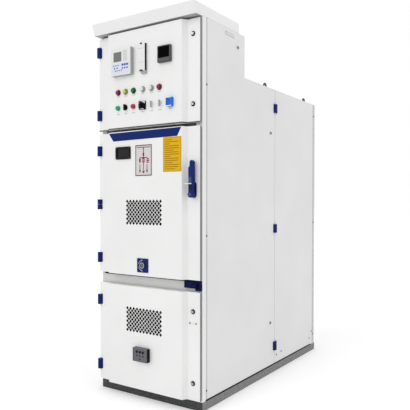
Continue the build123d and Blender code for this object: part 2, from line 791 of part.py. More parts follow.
# Instrument door and the places of its devices
relay_place = (RELAY_SHARE * RAISED_HALF, INSTRUMENT_FOOT + RELAY_RISE)
display_place = (DISPLAY_SHARE * RAISED_HALF, INSTRUMENT_FOOT + DISPLAY_RISE)
meter_place = (METER_SHARE * RAISED_HALF, INSTRUMENT_FOOT + METER_RISE)
lamp_level = INSTRUMENT_FOOT + LAMP_RISE
switch_level = INSTRUMENT_FOOT + SWITCH_RISE
lamp_places = [(share * RAISED_HALF, lamp_level) for share in LAMP_SHARES]
button_places = [(share * RAISED_HALF, switch_level) for share in BUTTON_SHARES]
knob_places = [(share * RAISED_HALF, switch_level) for share in KNOB_SHARES]
selector_place = (SELECTOR_SHARE * RAISED_HALF, switch_level)
block_place = (BLOCK_SHARE * RAISED_HALF, switch_level)
relay_case_width = RELAY_WIDTH - 2 * RELAY_CASE_MARGIN
relay_case_height = RELAY_HEIGHT - 2 * RELAY_CASE_MARGIN
meter_case = METER_SIZE - 2 * METER_CASE_MARGIN


def relay_cutout():
    """Cut-out for the relay's case."""
    Rectangle(relay_case_width + 2 * DEVICE_CLEAR, relay_case_height + 2 * DEVICE_CLEAR)


def meter_cutout():
    """Cut-out for the meter's case."""
    Rectangle(meter_case + 2 * DEVICE_CLEAR, meter_case + 2 * DEVICE_CLEAR)


def pilot_hole():
    """Round hole for a lamp, button or switch."""
    Circle(PILOT_HOLE_RADIUS)


instrument_door_blank = punch(
    door_pan(INSTRUMENT_FOOT, INSTRUMENT_TOP, instrument_hinges), STRIP_STAND, (lock_hole, instrument_locks)
)
instrument_door_panel = punch(
    instrument_door_blank,
    RAISED_STAND,
    (relay_cutout, [relay_place]),
    (meter_cutout, [meter_place]),
    (pilot_hole, lamp_places + button_places + knob_places + [selector_place]),
)
save(instrument_door_panel, "instrument_door_panel")

# Breaker door and the places of its window, port and vent
window_place = (WINDOW_SHARE * RAISED_HALF, BREAKER_FOOT + WINDOW_RISE)
port_place = (PORT_SHARE * RAISED_HALF, BREAKER_FOOT + PORT_RISE)
window_glass_width = WINDOW_WIDTH - 2 * WINDOW_RIM
window_glass_height = WINDOW_HEIGHT - 2 * WINDOW_RIM


def window_cutout():
    """Cut-out behind the viewing window."""
    Rectangle(window_glass_width, window_glass_height)


breaker_door_panel = punch(
    door_pan(BREAKER_FOOT, BREAKER_TOP, breaker_hinges),
    RAISED_STAND,
    (window_cutout, [window_place]),
    (diamond, vent_places(BREAKER_FOOT + BREAKER_VENT_RISE)),
)
save(breaker_door_panel, "breaker_door_panel")

cable_door_blank = punch(
    door_pan(CABLE_FOOT, CABLE_TOP, cable_hinges), STRIP_STAND, (lock_hole, cable_locks)
)
cable_door_panel = punch(
    cable_door_blank, RAISED_STAND, (diamond, vent_places(CABLE_FOOT + CABLE_VENT_RISE))
)
save(cable_door_panel, "cable_door_panel")


# Devices of the instrument door
def rounded_front(piece, radius):
    """Round the edges of a device's front face."""
    fillet(piece.faces().sort_by(Axis.Y)[0].edges(), radius)


with BuildPart() as protection_relay:
    with BuildSketch(facing(RAISED_STAND)):
        with Locations(relay_place):
            RectangleRounded(RELAY_WIDTH, RELAY_HEIGHT, RELAY_ROUND)
    extrude(amount=RELAY_STAND)
    rounded_front(protection_relay, RELAY_ROUND / 2)
    with BuildSketch(facing(RAISED_STAND + RELAY_STAND)):
        with Locations((relay_place[0] + RELAY_SCREEN_SHIFT, relay_place[1] + RELAY_SCREEN_RISE)):
            Rectangle(RELAY_SCREEN_WIDTH, RELAY_SCREEN_HEIGHT)
    extrude(amount=-RELAY_SCREEN_DEPTH, mode=Mode.SUBTRACT)
    with BuildSketch(facing(RAISED_STAND)):
        with Locations(relay_place):
            Rectangle(relay_case_width, relay_case_height)
    extrude(amount=-RELAY_CASE_DEPTH)
save(protection_relay, "protection_relay")

with BuildPart() as display_module:
    with BuildSketch(facing(RAISED_STAND)):
        with Locations(display_place):
            RectangleRounded(DISPLAY_WIDTH, DISPLAY_HEIGHT, DISPLAY_ROUND)
    extrude(amount=DISPLAY_STAND)
    rounded_front(display_module, DISPLAY_ROUND / 2)
save(display_module, "display_module")

with BuildPart() as panel_meter:
    with BuildSketch(facing(RAISED_STAND)):
        with Locations(meter_place):
            RectangleRounded(METER_SIZE, METER_SIZE, METER_ROUND)
    extrude(amount=METER_STAND)
    rounded_front(panel_meter, METER_ROUND / 2)
    with BuildSketch(facing(RAISED_STAND + METER_STAND)):
        with Locations((meter_place[0], meter_place[1] + METER_WINDOW_RISE)):
            Rectangle(METER_SIZE - 2 * METER_WINDOW_MARGIN, METER_WINDOW_HEIGHT)
    extrude(amount=-METER_WINDOW_DEPTH, mode=Mode.SUBTRACT)
    with BuildSketch(facing(RAISED_STAND)):
        with Locations(meter_place):
            Rectangle(meter_case, meter_case)
    extrude(amount=-METER_CASE_DEPTH)
save(panel_meter, "panel_meter")


def pilot_device(place, head_radius, head_height, head_round):
    """Round device of the instrument door, turned from its half section: body, bezel and head."""
    across, up = place
    middle = (across, FRONT - RAISED_STAND, up)
    head_top = PILOT_BEZEL_HEIGHT + head_height
    with BuildPart() as device:
        with BuildSketch(Plane(middle, x_dir=(1, 0, 0), z_dir=(0, 0, -1))):
            with BuildLine():
                Polyline(
                    (0, -PILOT_BODY_LENGTH),
                    (PILOT_BODY_RADIUS, -PILOT_BODY_LENGTH),
                    (PILOT_BODY_RADIUS, 0),
                    (PILOT_BEZEL_RADIUS, 0),
                    (PILOT_BEZEL_RADIUS, PILOT_BEZEL_HEIGHT - PILOT_BEZEL_STEP),
                    (PILOT_BEZEL_RADIUS - PILOT_BEZEL_STEP, PILOT_BEZEL_HEIGHT),
                    (head_radius, PILOT_BEZEL_HEIGHT),
                    (head_radius, head_top),
                    (0, head_top),
                    close=True,
                )
            make_face()
        revolve(axis=Axis(middle, (0, 1, 0)))
        fillet(device.edges().filter_by(GeomType.CIRCLE).sort_by(Axis.Y)[0], head_round)
    return device


lamps = [pilot_device(place, LAMP_LENS_RADIUS, LAMP_LENS_HEIGHT, LAMP_LENS_ROUND) for place in lamp_places]
save(gathered(lamps), "indicator_lamps")
buttons = [pilot_device(place, BUTTON_RADIUS, BUTTON_HEIGHT, BUTTON_ROUND) for place in button_places]
save(gathered(buttons), "push_buttons")


def turn_knob(place):
    """Small rotary switch: the round base of a pilot device with an upright finger grip."""
    base = pilot_device(place, BUTTON_RADIUS, KNOB_BASE_HEIGHT, BUTTON_ROUND)
    with BuildPart() as knob:
        add(base.part)
        with BuildSketch(facing(RAISED_STAND + PILOT_BEZEL_HEIGHT)):
            with Locations(place):
                SlotOverall(KNOB_LENGTH, KNOB_WIDTH, rotation=90)
        extrude(amount=KNOB_HEIGHT)
        rounded_front(knob, KNOB_ROUND)
    return knob


with BuildPart() as selector:
    with BuildSketch(facing(RAISED_STAND)):
        with Locations(selector_place):
            RectangleRounded(SELECTOR_PLATE, SELECTOR_PLATE, SELECTOR_PLATE_ROUND)
    extrude(amount=SELECTOR_PLATE_HEIGHT)
    with BuildSketch(facing(RAISED_STAND + SELECTOR_PLATE_HEIGHT)):
        with Locations(selector_place):
            Circle(SELECTOR_HUB_RADIUS)
    extrude(amount=SELECTOR_HUB_HEIGHT, taper=SELECTOR_HUB_TAPER)
    with BuildSketch(facing(RAISED_STAND + SELECTOR_PLATE_HEIGHT + SELECTOR_HUB_HEIGHT)):
        with Locations(selector_place):
            SlotOverall(SELECTOR_GRIP_LENGTH, SELECTOR_GRIP_WIDTH, rotation=90)
    extrude(amount=SELECTOR_GRIP_HEIGHT)
    rounded_front(selector, KNOB_ROUND)
    with BuildSketch(facing(RAISED_STAND)):
        with Locations(selector_place):
            Circle(PILOT_BODY_RADIUS)
    extrude(amount=-PILOT_BODY_LENGTH)

save(gathered([turn_knob(place) for place in knob_places] + [selector]), "selector_switches")

with BuildPart() as test_block:
    with BuildSketch(facing(RAISED_STAND)):
        with Locations(block_place):
            RectangleRounded(BLOCK_WIDTH, BLOCK_HEIGHT, BLOCK_ROUND)
    extrude(amount=BLOCK_STAND)
    rounded_front(test_block, BLOCK_ROUND / 2)
    with BuildSketch(facing(RAISED_STAND + BLOCK_STAND)):
        with Locations(block_place):
            Rectangle(BLOCK_WIDTH - 2 * BLOCK_RIM, BLOCK_HEIGHT - 2 * BLOCK_RIM)
    extrude(amount=-BLOCK_POCKET_DEPTH, mode=Mode.SUBTRACT)
save(test_block, "test_block")

# Viewing window: rebated frame over the cut-out, with its pane held in the rebate
with BuildPart() as viewing_window:
    with BuildSketch(facing(RAISED_STAND)):
        with Locations(window_place):
            RectangleRounded(WINDOW_WIDTH, WINDOW_HEIGHT, WINDOW_ROUND)
            Rectangle(window_glass_width, window_glass_height, mode=Mode.SUBTRACT)
    extrude(amount=WINDOW_STAND)
    chamfer(viewing_window.faces().sort_by(Axis.Y)[0].outer_wire().edges(), WINDOW_CHAMFER)
    with BuildSketch(facing(RAISED_STAND)):
        with Locations(window_place):
            Rectangle(window_glass_width + 2 * PANE_LAP, window_glass_height + 2 * PANE_LAP)
    extrude(amount=PANE_THICKNESS, mode=Mode.SUBTRACT)
save(viewing_window, "viewing_window")

with BuildPart() as window_pane:
    with BuildSketch(facing(RAISED_STAND)):
        with Locations(window_place):
            Rectangle(window_glass_width + 2 * PANE_LAP, window_glass_height + 2 * PANE_LAP)
    extrude(amount=PANE_THICKNESS)
save(window_pane, "window_pane")

# Racking port: square plate, raised hub and the crank's socket
with BuildPart() as racking_port:
    with BuildSketch(facing(RAISED_STAND)):
        with Locations(port_place):
            RectangleRounded(PORT_WIDTH, PORT_HEIGHT, PORT_ROUND)
    extrude(amount=PORT_STAND)
    with BuildSketch(facing(RAISED_STAND + PORT_STAND)):
        with Locations(port_place):
            Circle(PORT_HUB_RADIUS)
    extrude(amount=PORT_HUB_HEIGHT)
    rounded_front(racking_port, PORT_STAND / 2)
    with BuildSketch(facing(RAISED_STAND + PORT_STAND + PORT_HUB_HEIGHT)):
        with Locations(port_place):
            Circle(PORT_SOCKET_RADIUS)
    extrude(amount=-PORT_SOCKET_DEPTH, mode=Mode.SUBTRACT)
save(racking_port, "racking_port")

# Handle: escutcheon with its spindle, and the lever that turns on it
handle_pivot = (DOOR_HALF - HANDLE_EDGE_INSET, BREAKER_FOOT + HANDLE_RISE)
lever_back = STRIP_STAND + ESCUTCHEON_STAND + HANDLE_CLEAR
spindle_length = ESCUTCHEON_STAND + HANDLE_CLEAR + HANDLE_THICKNESS - SPINDLE_SPARE
with BuildPart() as handle_escutcheon:
    with BuildSketch(facing(STRIP_STAND)):
        with Locations((handle_pivot[0], handle_pivot[1] + (ESCUTCHEON_LENGTH - ESCUTCHEON_WIDTH) / 2)):
            SlotOverall(ESCUTCHEON_LENGTH, ESCUTCHEON_WIDTH, rotation=90)
    extrude(amount=ESCUTCHEON_STAND)
    rounded_front(handle_escutcheon, ESCUTCHEON_ROUND)
    with BuildSketch(facing(STRIP_STAND)):
        with Locations(handle_pivot):
            Circle(SPINDLE_RADIUS)
    extrude(amount=spindle_length)
save(handle_escutcheon, "handle_escutcheon")

neck = HANDLE_NECK_WIDTH / 2
tip = HANDLE_TIP_WIDTH / 2
shoulder_level = HANDLE_LENGTH - HANDLE_TIP_LENGTH
with BuildPart() as door_handle:
    with BuildSketch(facing(lever_back)):
        with Locations(handle_pivot):
            Circle(HANDLE_BOSS_RADIUS)
            Polygon(
                (-neck, 0),
                (neck, 0),
                (neck, HANDLE_LENGTH - tip),
                (neck - tip, HANDLE_LENGTH),
                (neck - HANDLE_TIP_WIDTH, HANDLE_LENGTH - tip),
                (neck - HANDLE_TIP_WIDTH, shoulder_level + HANDLE_SHOULDER),
                (-neck, shoulder_level),
                align=None,
            )
    extrude(amount=HANDLE_THICKNESS)
    rounded_front(door_handle, HANDLE_ROUND)
    with BuildSketch(facing(lever_back)):
        with Locations(handle_pivot):
            Circle(SPINDLE_RADIUS + SPINDLE_CLEAR)
    extrude(amount=HANDLE_THICKNESS - SPINDLE_SPARE / 2, mode=Mode.SUBTRACT)
save(door_handle, "door_handle")

# Earthing-switch operator: a stepped cover with the slide's slot
operator_top = BREAKER_FOOT - OPERATOR_TOP_GAP
operator_foot = CABLE_TOP + OPERATOR_FOOT_GAP
slide_foot = CABLE_TOP + OPERATOR_SLIDE_GAP
operator_right = HALF - OPERATOR_EDGE_GAP
operator_left = operator_right - OPERATOR_WIDTH
operator_step = operator_right - OPERATOR_SLIDE_WIDTH
slot_height = operator_top - slide_foot - 2 * OPERATOR_SLOT_MARGIN
with BuildPart() as earthing_operator:
    with BuildSketch(facing(0)):
        with BuildLine():
            Polyline(
                (operator_left, operator_foot),
                (operator_step, operator_foot),
                (operator_step, slide_foot),
                (operator_right, slide_foot),
                (operator_right, operator_top),
                (operator_left, operator_top),
                close=True,
            )
        make_face()
    extrude(amount=OPERATOR_STAND)
    rounded_front(earthing_operator, OPERATOR_ROUND)
    with BuildSketch(facing(OPERATOR_STAND)):
        with Locations(((operator_step + operator_right) / 2, (operator_top + slide_foot) / 2)):
            Rectangle(OPERATOR_SLOT_WIDTH, slot_height)
    extrude(amount=-OPERATOR_SLOT_DEPTH, mode=Mode.SUBTRACT)
save(earthing_operator, "earthing_operator")

# Live-line indicator of the cable door
indicator_place = (INDICATOR_SHARE * RAISED_HALF, CABLE_FOOT + INDICATOR_RISE)
with BuildPart() as live_indicator:
    with BuildSketch(facing(RAISED_STAND)):
        with Locations(indicator_place):
            RectangleRounded(INDICATOR_WIDTH, INDICATOR_HEIGHT, INDICATOR_ROUND)
    extrude(amount=INDICATOR_STAND)
    rounded_front(live_indicator, INDICATOR_ROUND / 2)
    with BuildSketch(facing(RAISED_STAND + INDICATOR_STAND)):
        with Locations(indicator_place):
            Rectangle(
                INDICATOR_WIDTH - 2 * INDICATOR_FACE_MARGIN, INDICATOR_HEIGHT - 2 * INDICATOR_FACE_MARGIN
            )
    extrude(amount=-INDICATOR_FACE_DEPTH, mode=Mode.SUBTRACT)
save(live_indicator, "live_indicator")

# Round-nosed clips over the side seam
lowest_clip = BODY_FOOT + CLIP_FOOT_END
highest_clip = REAR_HEIGHT - CLIP_TOP_END
middle_clip = lowest_clip + CLIP_MIDDLE_SHARE * (highest_clip - lowest_clip)
with BuildPart() as side_seam_clips:
    for level in (lowest_clip, middle_clip, highest_clip):
        with BuildSketch(Plane.XY.offset(level - CLIP_HEIGHT / 2)):
            with BuildLine():
                back = Line((HALF, SEAM - CLIP_RADIUS), (HALF, SEAM + CLIP_RADIUS))
                ThreePointArc(back @ 1, (HALF + CLIP_STAND, SEAM), back @ 0)
            make_face()
        extrude(amount=CLIP_HEIGHT)
    mirror(about=Plane.YZ)
save(side_seam_clips, "side_seam_clips")
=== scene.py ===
"""Finishes, fittings and studio for a free-standing switchgear panel, built round its solids."""

import math

import bmesh
import bpy
from bpy.props import FloatProperty, FloatVectorProperty, PointerProperty
from mathutils import Matrix, Vector


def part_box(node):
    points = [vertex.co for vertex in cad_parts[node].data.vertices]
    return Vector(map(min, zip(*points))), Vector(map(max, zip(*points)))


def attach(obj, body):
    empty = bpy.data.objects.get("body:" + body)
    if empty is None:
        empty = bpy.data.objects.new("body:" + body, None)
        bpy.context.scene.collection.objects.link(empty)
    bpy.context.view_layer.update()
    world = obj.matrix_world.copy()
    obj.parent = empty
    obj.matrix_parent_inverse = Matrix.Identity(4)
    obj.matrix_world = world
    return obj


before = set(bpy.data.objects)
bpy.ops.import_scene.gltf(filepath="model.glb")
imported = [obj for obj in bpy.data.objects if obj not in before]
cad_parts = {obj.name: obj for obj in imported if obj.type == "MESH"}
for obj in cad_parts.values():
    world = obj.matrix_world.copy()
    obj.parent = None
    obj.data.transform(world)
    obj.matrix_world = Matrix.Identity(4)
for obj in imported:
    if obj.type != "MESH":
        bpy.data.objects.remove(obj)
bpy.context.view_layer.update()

bl_info = {
    "name": "Switchgear Panel Looks",
    "version": (1, 0, 0),
    "blender": (4, 5, 0),
    "location": "3D View > Sidebar > Switchgear",
    "description": "Finishes, fittings and studio for a free-standing switchgear panel",
    "category": "Object",
}

# Planes of the panel, read from its solids, in metres
POST_LOW, POST_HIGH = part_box("front_right_post")
FRONT_Y = POST_LOW.y
SIDE_X = POST_HIGH.x
DOOR_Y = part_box("breaker_door_panel")[0].y
STRIP_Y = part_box("handle_escutcheon")[1].y
REAR_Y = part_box("rear_upper_cover")[1].y
REAR_ROOF_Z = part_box("rear_roof")[1].z

# How far a fitting sinks into what carries it, and the eased edge of thin trim
TINY = 0.0002
EASE = 0.0003


def face(u, v, w, origin):
    """Matrix from drawing axes u and v and the outward axis w of a face to the panel's axes."""
    matrix = Matrix((u, v, w)).transposed().to_4x4()
    matrix.translation = Vector(origin)
    return matrix


def front_face(depth):
    """Face that looks out of the front at a given depth."""
    return face((1, 0, 0), (0, 0, 1), (0, -1, 0), (0, depth, 0))


FRAME_FACE = front_face(FRONT_Y)
DOOR_FACE = front_face(DOOR_Y)
STRIP_FACE = front_face(STRIP_Y)
REAR_FACE = face((-1, 0, 0), (0, 0, 1), (0, 1, 0), (0, REAR_Y, 0))
ROOF_FACE = face((1, 0, 0), (0, 1, 0), (0, 0, 1), (0, 0, REAR_ROOF_Z))
# Each side's name and face, and the sign that its drawing axis has along the panel's depth
SIDES = (
    ("right", face((0, 1, 0), (0, 0, 1), (1, 0, 0), (SIDE_X, 0, 0)), 1),
    ("left", face((0, -1, 0), (0, 0, 1), (-1, 0, 0), (-SIDE_X, 0, 0)), -1),
)


def front_of(node):
    """A node's lowest and highest corners, the middle of its front, and the face there."""
    low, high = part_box(node)
    return low, high, ((low.x + high.x) / 2, (low.z + high.z) / 2), front_face(low.y)


def tint(name, description, default):
    """Colour property of the sidebar."""
    return FloatVectorProperty(
        name=name, description=description, default=default, subtype="COLOR", size=3, min=0.0, max=1.0
    )


def length(name, description, default):
    """Length property of the sidebar, in metres."""
    return FloatProperty(
        name=name, description=description, default=default, subtype="DISTANCE", unit="LENGTH", min=0.0
    )


def angle(name, description, degrees):
    """Angle property of the sidebar."""
    return FloatProperty(
        name=name, description=description, default=math.radians(degrees), subtype="ANGLE", unit="ROTATION"
    )


class PanelTints(bpy.types.PropertyGroup):
    """Colours of the panel's finishes."""

    door_paint: tint("Door paint", "Powder coat of the doors and the header", (0.905, 0.905, 0.901))
    body_paint: tint("Body paint", "Powder coat of the side panels, covers and roofs", (0.83, 0.83, 0.828))
    # A grey darker than the body paint, painted shade of the recess between the lower doors; the front faces
    # of the front posts take it too
    rail_paint: tint("Rail paint", "Powder coat of the band between the lower doors", (0.7, 0.705, 0.69))
    base_front: tint("Base front", "Paint of the base's end channels", (0.052, 0.052, 0.053))
    base_side: tint("Base side", "Paint of the base's side channels", (0.215, 0.215, 0.217))
    zinc: tint("Zinc", "Zinc coat of the bare sheets", (0.56, 0.57, 0.58))
    steel: tint("Bright steel", "Bare steel of the screws and lock barrels", (0.6, 0.6, 0.61))
    # On the lever handle's right side this navy is painted shade
    navy: tint("Hinge navy", "Enamel of the hinges, side clips and port", (0.003, 0.016, 0.13))
    blue: tint("Handle blue", "Plastic of the lever handle", (0.003, 0.02, 0.19))
    dark_blue: tint("Operator blue", "Plastic of the earthing operator", (0.002, 0.004, 0.036))
    slate: tint("Slate blue", "Push button and cap of the lever handle", (0.07, 0.1, 0.19))
    banner: tint("Banner blue", "Face of the banner on the breaker door", (0.002, 0.018, 0.14))
    # On the side foot strips this rubber black is painted shadow along the top of the base
    rubber: tint("Rubber", "Door seals and foot strips", (0.014, 0.014, 0.014))
    gasket: tint("Gasket grey", "Joint strip beside the front posts", (0.62, 0.62, 0.62))
    # Dark grey: on the doors' closing edges and the entry covers' rings it is painted shade; on the side
    # bolts it is the heads' own colour
    edging: tint("Edging", "Rubber edging on the closing edge of the doors", (0.26, 0.26, 0.265))
    # Near-black of the rails behind the upper gaps and of the strip at the instrument door's foot: painted
    # shade
    recess: tint("Recess grey", "Dark paint of the rails behind the upper gaps", (0.09, 0.09, 0.092))
    # On the walls of the lock slots this black is painted shade
    black: tint("Device black", "Black plastic of the devices", (0.006, 0.006, 0.0065))
    # On the walls of the vent holes and on the vent screens this black is painted shade
    screen: tint("Meter screen", "Black of the meter's glass and the vent screens", (0.0015, 0.0015, 0.0016))
    graphite: tint("Device graphite", "Dark grey plastic of the devices", (0.085, 0.083, 0.085))
    # Grey: the relay's right side and underside, the knobs' sides and the header's underside take it as
    # painted shade; elsewhere it is the parts' own grey
    grey: tint("Device grey", "Grey plastic of the relay's case and the knobs", (0.4, 0.405, 0.41))
    knob: tint("Knob grey", "Pale plastic of two switch knobs", (0.8, 0.8, 0.79))
    white: tint("Device white", "White plastic of the devices and plates", (0.84, 0.84, 0.835))
    keypad: tint("Keypad", "Lavender membrane of the relay's keys", (0.75, 0.78, 0.89))
    key: tint("Key", "Blue keys of the relay", (0.06, 0.09, 0.36))
    display: tint("Display", "Grey liquid-crystal display of the relay", (0.18, 0.19, 0.185))
    indicator: tint("Indicator", "Grey face of the live-line indicator", (0.15, 0.138, 0.162))
    red: tint("Lamp red", "Red lenses", (0.3, 0.008, 0.05))
    yellow: tint("Lamp yellow", "Yellow lens", (0.62, 0.64, 0.08))
    green: tint("Lamp green", "Green lens", (0.004, 0.15, 0.065))
    clear: tint("Lamp white", "White lenses", (0.82, 0.82, 0.8))
    press_green: tint("Button green", "Green push button", (0.015, 0.33, 0.16))
    press_red: tint("Button red", "Red push button", (0.38, 0.025, 0.055))
    block: tint("Block blue", "Test block", (0.025, 0.18, 0.7))
    ruled: tint("Ruled plate", "Yellow plate on the breaker door", (0.78, 0.46, 0.008))
    ruling: tint("Ruling", "Ruled lines on the yellow plate", (0.38, 0.19, 0.002))
    diagram: tint("Diagram plate", "Pale plate of the line diagram", (0.72, 0.67, 0.68))
    diagram_red: tint("Diagram red", "Red lines of the line diagram", (0.36, 0.015, 0.06))
    diagram_black: tint("Diagram black", "Black lines of the line diagram", (0.05, 0.035, 0.04))


class FittingSizes(bpy.types.PropertyGroup):
    """Sizes of the fittings that dress the solids."""

    sheet_round: length("Sheet round", "Round of the folded sheet edges", 0.0012)
    seal_width: length("Seal width", "Width of a door seal", 0.012)
    seal_stand: length("Seal stand", "Height of a door seal before the frame", 0.008)
    screw_radius: length("Screw radius", "Head of the small screws", 0.0055)
    bolt_radius: length("Bolt radius", "Head of the cover bolts", 0.0095)
    print_height: length("Print height", "Height of printed lines over their plate", 0.0003)
    plate_height: length("Plate height", "Thickness of the name and notice plates", 0.0015)
    legend_width: length("Legend width", "Width of the legend strips under the devices", 0.03)
    legend_height: length("Legend height", "Height of the legend strips under the devices", 0.008)


class StudioSettings(bpy.types.PropertyGroup):
    """Camera and light of the studio."""

    camera_place: FloatVectorProperty(
        name="Camera place",
        description="Where the camera stands",
        default=(2.15838, -3.12322, 1.18663),
        subtype="TRANSLATION",
        unit="LENGTH",
    )
    camera_turn: angle("Camera turn", "Heading of the camera from the rear axis", 31.2311)
    camera_tilt: angle("Camera tilt", "Tilt of the camera above the horizon", -1.067)
    camera_roll: angle("Camera roll", "Roll of the camera about its axis", 0.14)
    lens: FloatProperty(
        name="Lens", description="Focal length on a 36 mm sensor", default=45.684, unit="CAMERA", min=1.0
    )
    shift_x: FloatProperty(name="Shift across", description="Sideways shift of the frame", default=-0.1146)
    shift_y: FloatProperty(name="Shift up", description="Upward shift of the frame", default=0.0195)
    sky: FloatProperty(name="Sky", description="Strength of the even studio light", default=0.62, min=0.0)
    floor_tint: tint("Floor", "Colour of the studio floor", (0.9, 0.9, 0.9))
    floor_lift: FloatProperty(
        name="Floor lift", description="White that the camera sees on the floor", default=0.2, min=0.0
    )


# Finishes: how fine their textures are, in repeats to the metre, and shares of their colours
SPANGLE = 70.0
SPANGLE_SHADE = 0.86
DUST = 55.0
DUST_GRAIN = 420.0
PRISMS = 420.0
PRISM_SHADE = 0.8
SMEARS = 30.0
GLOSS_TO_CLOUD = 6.0
UNEVEN_COAT = (0.88, 1.12)
UNEVEN_ZINC = (0.85, 1.2)
DUST_SHARE, DUST_LIFT = 1.35, 0.008
LENS_COLOURS = ("red", "yellow", "green", "clear")
# Share of each lens colour in its darker flank copy, a painted shade for the lamps' sides and collars
LENS_FLANK_PAINTED_SHADE = 0.45


def new_shader(name, base, roughness, metallic=0.0, coat=0.0, shine=0.5):
    """Material with its principled shader set to plain values."""
    material = bpy.data.materials.new(name)
    material.use_nodes = True
    shader = material.node_tree.nodes["Principled BSDF"]
    shader.inputs["Base Color"].default_value = (*base, 1.0)
    shader.inputs["Roughness"].default_value = roughness
    shader.inputs["Metallic"].default_value = metallic
    shader.inputs["Coat Weight"].default_value = coat
    shader.inputs["Specular IOR Level"].default_value = shine
    material.diffuse_color = (*base, 1.0)
    return material, shader


def shaded(base, share):
    """A colour with every channel taken by a share."""
    return [channel * share for channel in base]


def texture(tree, kind, scale):
    """Texture of a kind in the panel's own coordinates."""
    place = tree.nodes.new("ShaderNodeTexCoord")
    made = tree.nodes.new(f"ShaderNodeTex{kind}")
    made.inputs["Scale"].default_value = scale
    tree.links.new(place.outputs["Object"], made.inputs["Vector"])
    return made


def noise(tree, scale, detail):
    """Value of a noise in the panel's own coordinates."""
    made = texture(tree, "Noise", scale)
    made.inputs["Detail"].default_value = detail
    return made.outputs[0]


def ranged(tree, source, low, high, start=0.35, end=0.65):
    """Map a texture's value to a range."""
    node = tree.nodes.new("ShaderNodeMapRange")
    node.inputs["From Min"].default_value = start
    node.inputs["From Max"].default_value = end
    node.inputs["To Min"].default_value = low
    node.inputs["To Max"].default_value = high
    tree.links.new(source, node.inputs["Value"])
    return node.outputs["Result"]


def blended(tree, shader, source, first, second):
    """Vary the base colour from a first colour to a second."""
    mix = tree.nodes.new("ShaderNodeMix")
    mix.data_type = "RGBA"
    mix.inputs[6].default_value = (*first, 1.0)
    mix.inputs[7].default_value = (*second, 1.0)
    tree.links.new(source, mix.inputs[0])
    tree.links.new(mix.outputs[2], shader.inputs["Base Color"])


def bumped(tree, shader, source, strength, distance):
    """Raise the surface by a texture."""
    bump = tree.nodes.new("ShaderNodeBump")
    bump.inputs["Strength"].default_value = strength
    bump.inputs["Distance"].default_value = distance
    tree.links.new(source, bump.inputs["Height"])
    tree.links.new(bump.outputs["Normal"], shader.inputs["Normal"])


def coated(name, base, roughness, grain, relief, shine=0.5, shade=0.96, cloud=2.4, metallic=0.0):
    """Paint or plastic: fine grain, faint cloudiness and uneven gloss."""
    material, shader = new_shader(name, base, roughness, metallic, shine=shine)
    tree = material.node_tree
    clouds = ranged(tree, noise(tree, cloud, detail=3.0), 0.0, 1.0)
    blended(tree, shader, clouds, shaded(base, shade), base)
    gloss = noise(tree, cloud * GLOSS_TO_CLOUD, detail=4.0)
    uneven = ranged(tree, gloss, *(roughness * share for share in UNEVEN_COAT))
    tree.links.new(uneven, shader.inputs["Roughness"])
    bumped(tree, shader, noise(tree, grain, detail=1.0), relief, distance=0.0004)


def zinced(name, base, roughness):
    """Zinc coat with its spangle of crystals."""
    material, shader = new_shader(name, base, roughness, metallic=0.75)
    tree = material.node_tree
    split = tree.nodes.new("ShaderNodeSeparateColor")
    tree.links.new(texture(tree, "Voronoi", SPANGLE).outputs["Color"], split.inputs["Color"])
    blended(tree, shader, split.outputs[0], shaded(base, SPANGLE_SHADE), base)
    low, high = (roughness * share for share in UNEVEN_ZINC)
    uneven = ranged(tree, split.outputs[1], low, high, start=0.0, end=1.0)
    tree.links.new(uneven, shader.inputs["Roughness"])


def scuffed(name, base, roughness):
    """Floor-level paint: mottled dust and a coarse grain."""
    material, shader = new_shader(name, base, roughness, shine=0.2)
    tree = material.node_tree
    dusty = [min(1.0, channel * DUST_SHARE + DUST_LIFT) for channel in base]
    dust = ranged(tree, noise(tree, DUST, detail=6.0), 0.0, 1.0, start=0.42, end=0.7)
    blended(tree, shader, dust, base, dusty)
    bumped(tree, shader, noise(tree, DUST_GRAIN, detail=3.0), strength=0.2, distance=0.0006)


def lensed(name, base):
    """Coloured lens with faint prisms inside and a clear skin."""
    material, shader = new_shader(name, base, roughness=0.22, coat=0.3, shine=0.2)
    shader.inputs["Coat Roughness"].default_value = 0.04
    tree = material.node_tree
    prisms = texture(tree, "Voronoi", PRISMS).outputs["Distance"]
    depth = ranged(tree, prisms, 0.0, 1.0, start=0.0, end=0.6)
    blended(tree, shader, depth, shaded(base, PRISM_SHADE), base)
    bumped(tree, shader, prisms, strength=0.15, distance=0.0005)


def glazed(name, base):
    """Tinted window pane with faint smears."""
    material, shader = new_shader(name, base, roughness=0.05, shine=0.3)
    shader.inputs["Transmission Weight"].default_value = 0.3
    shader.inputs["IOR"].default_value = 1.4
    tree = material.node_tree
    smears = ranged(tree, noise(tree, SMEARS, detail=4.0), low=0.03, high=0.12)
    tree.links.new(smears, shader.inputs["Roughness"])


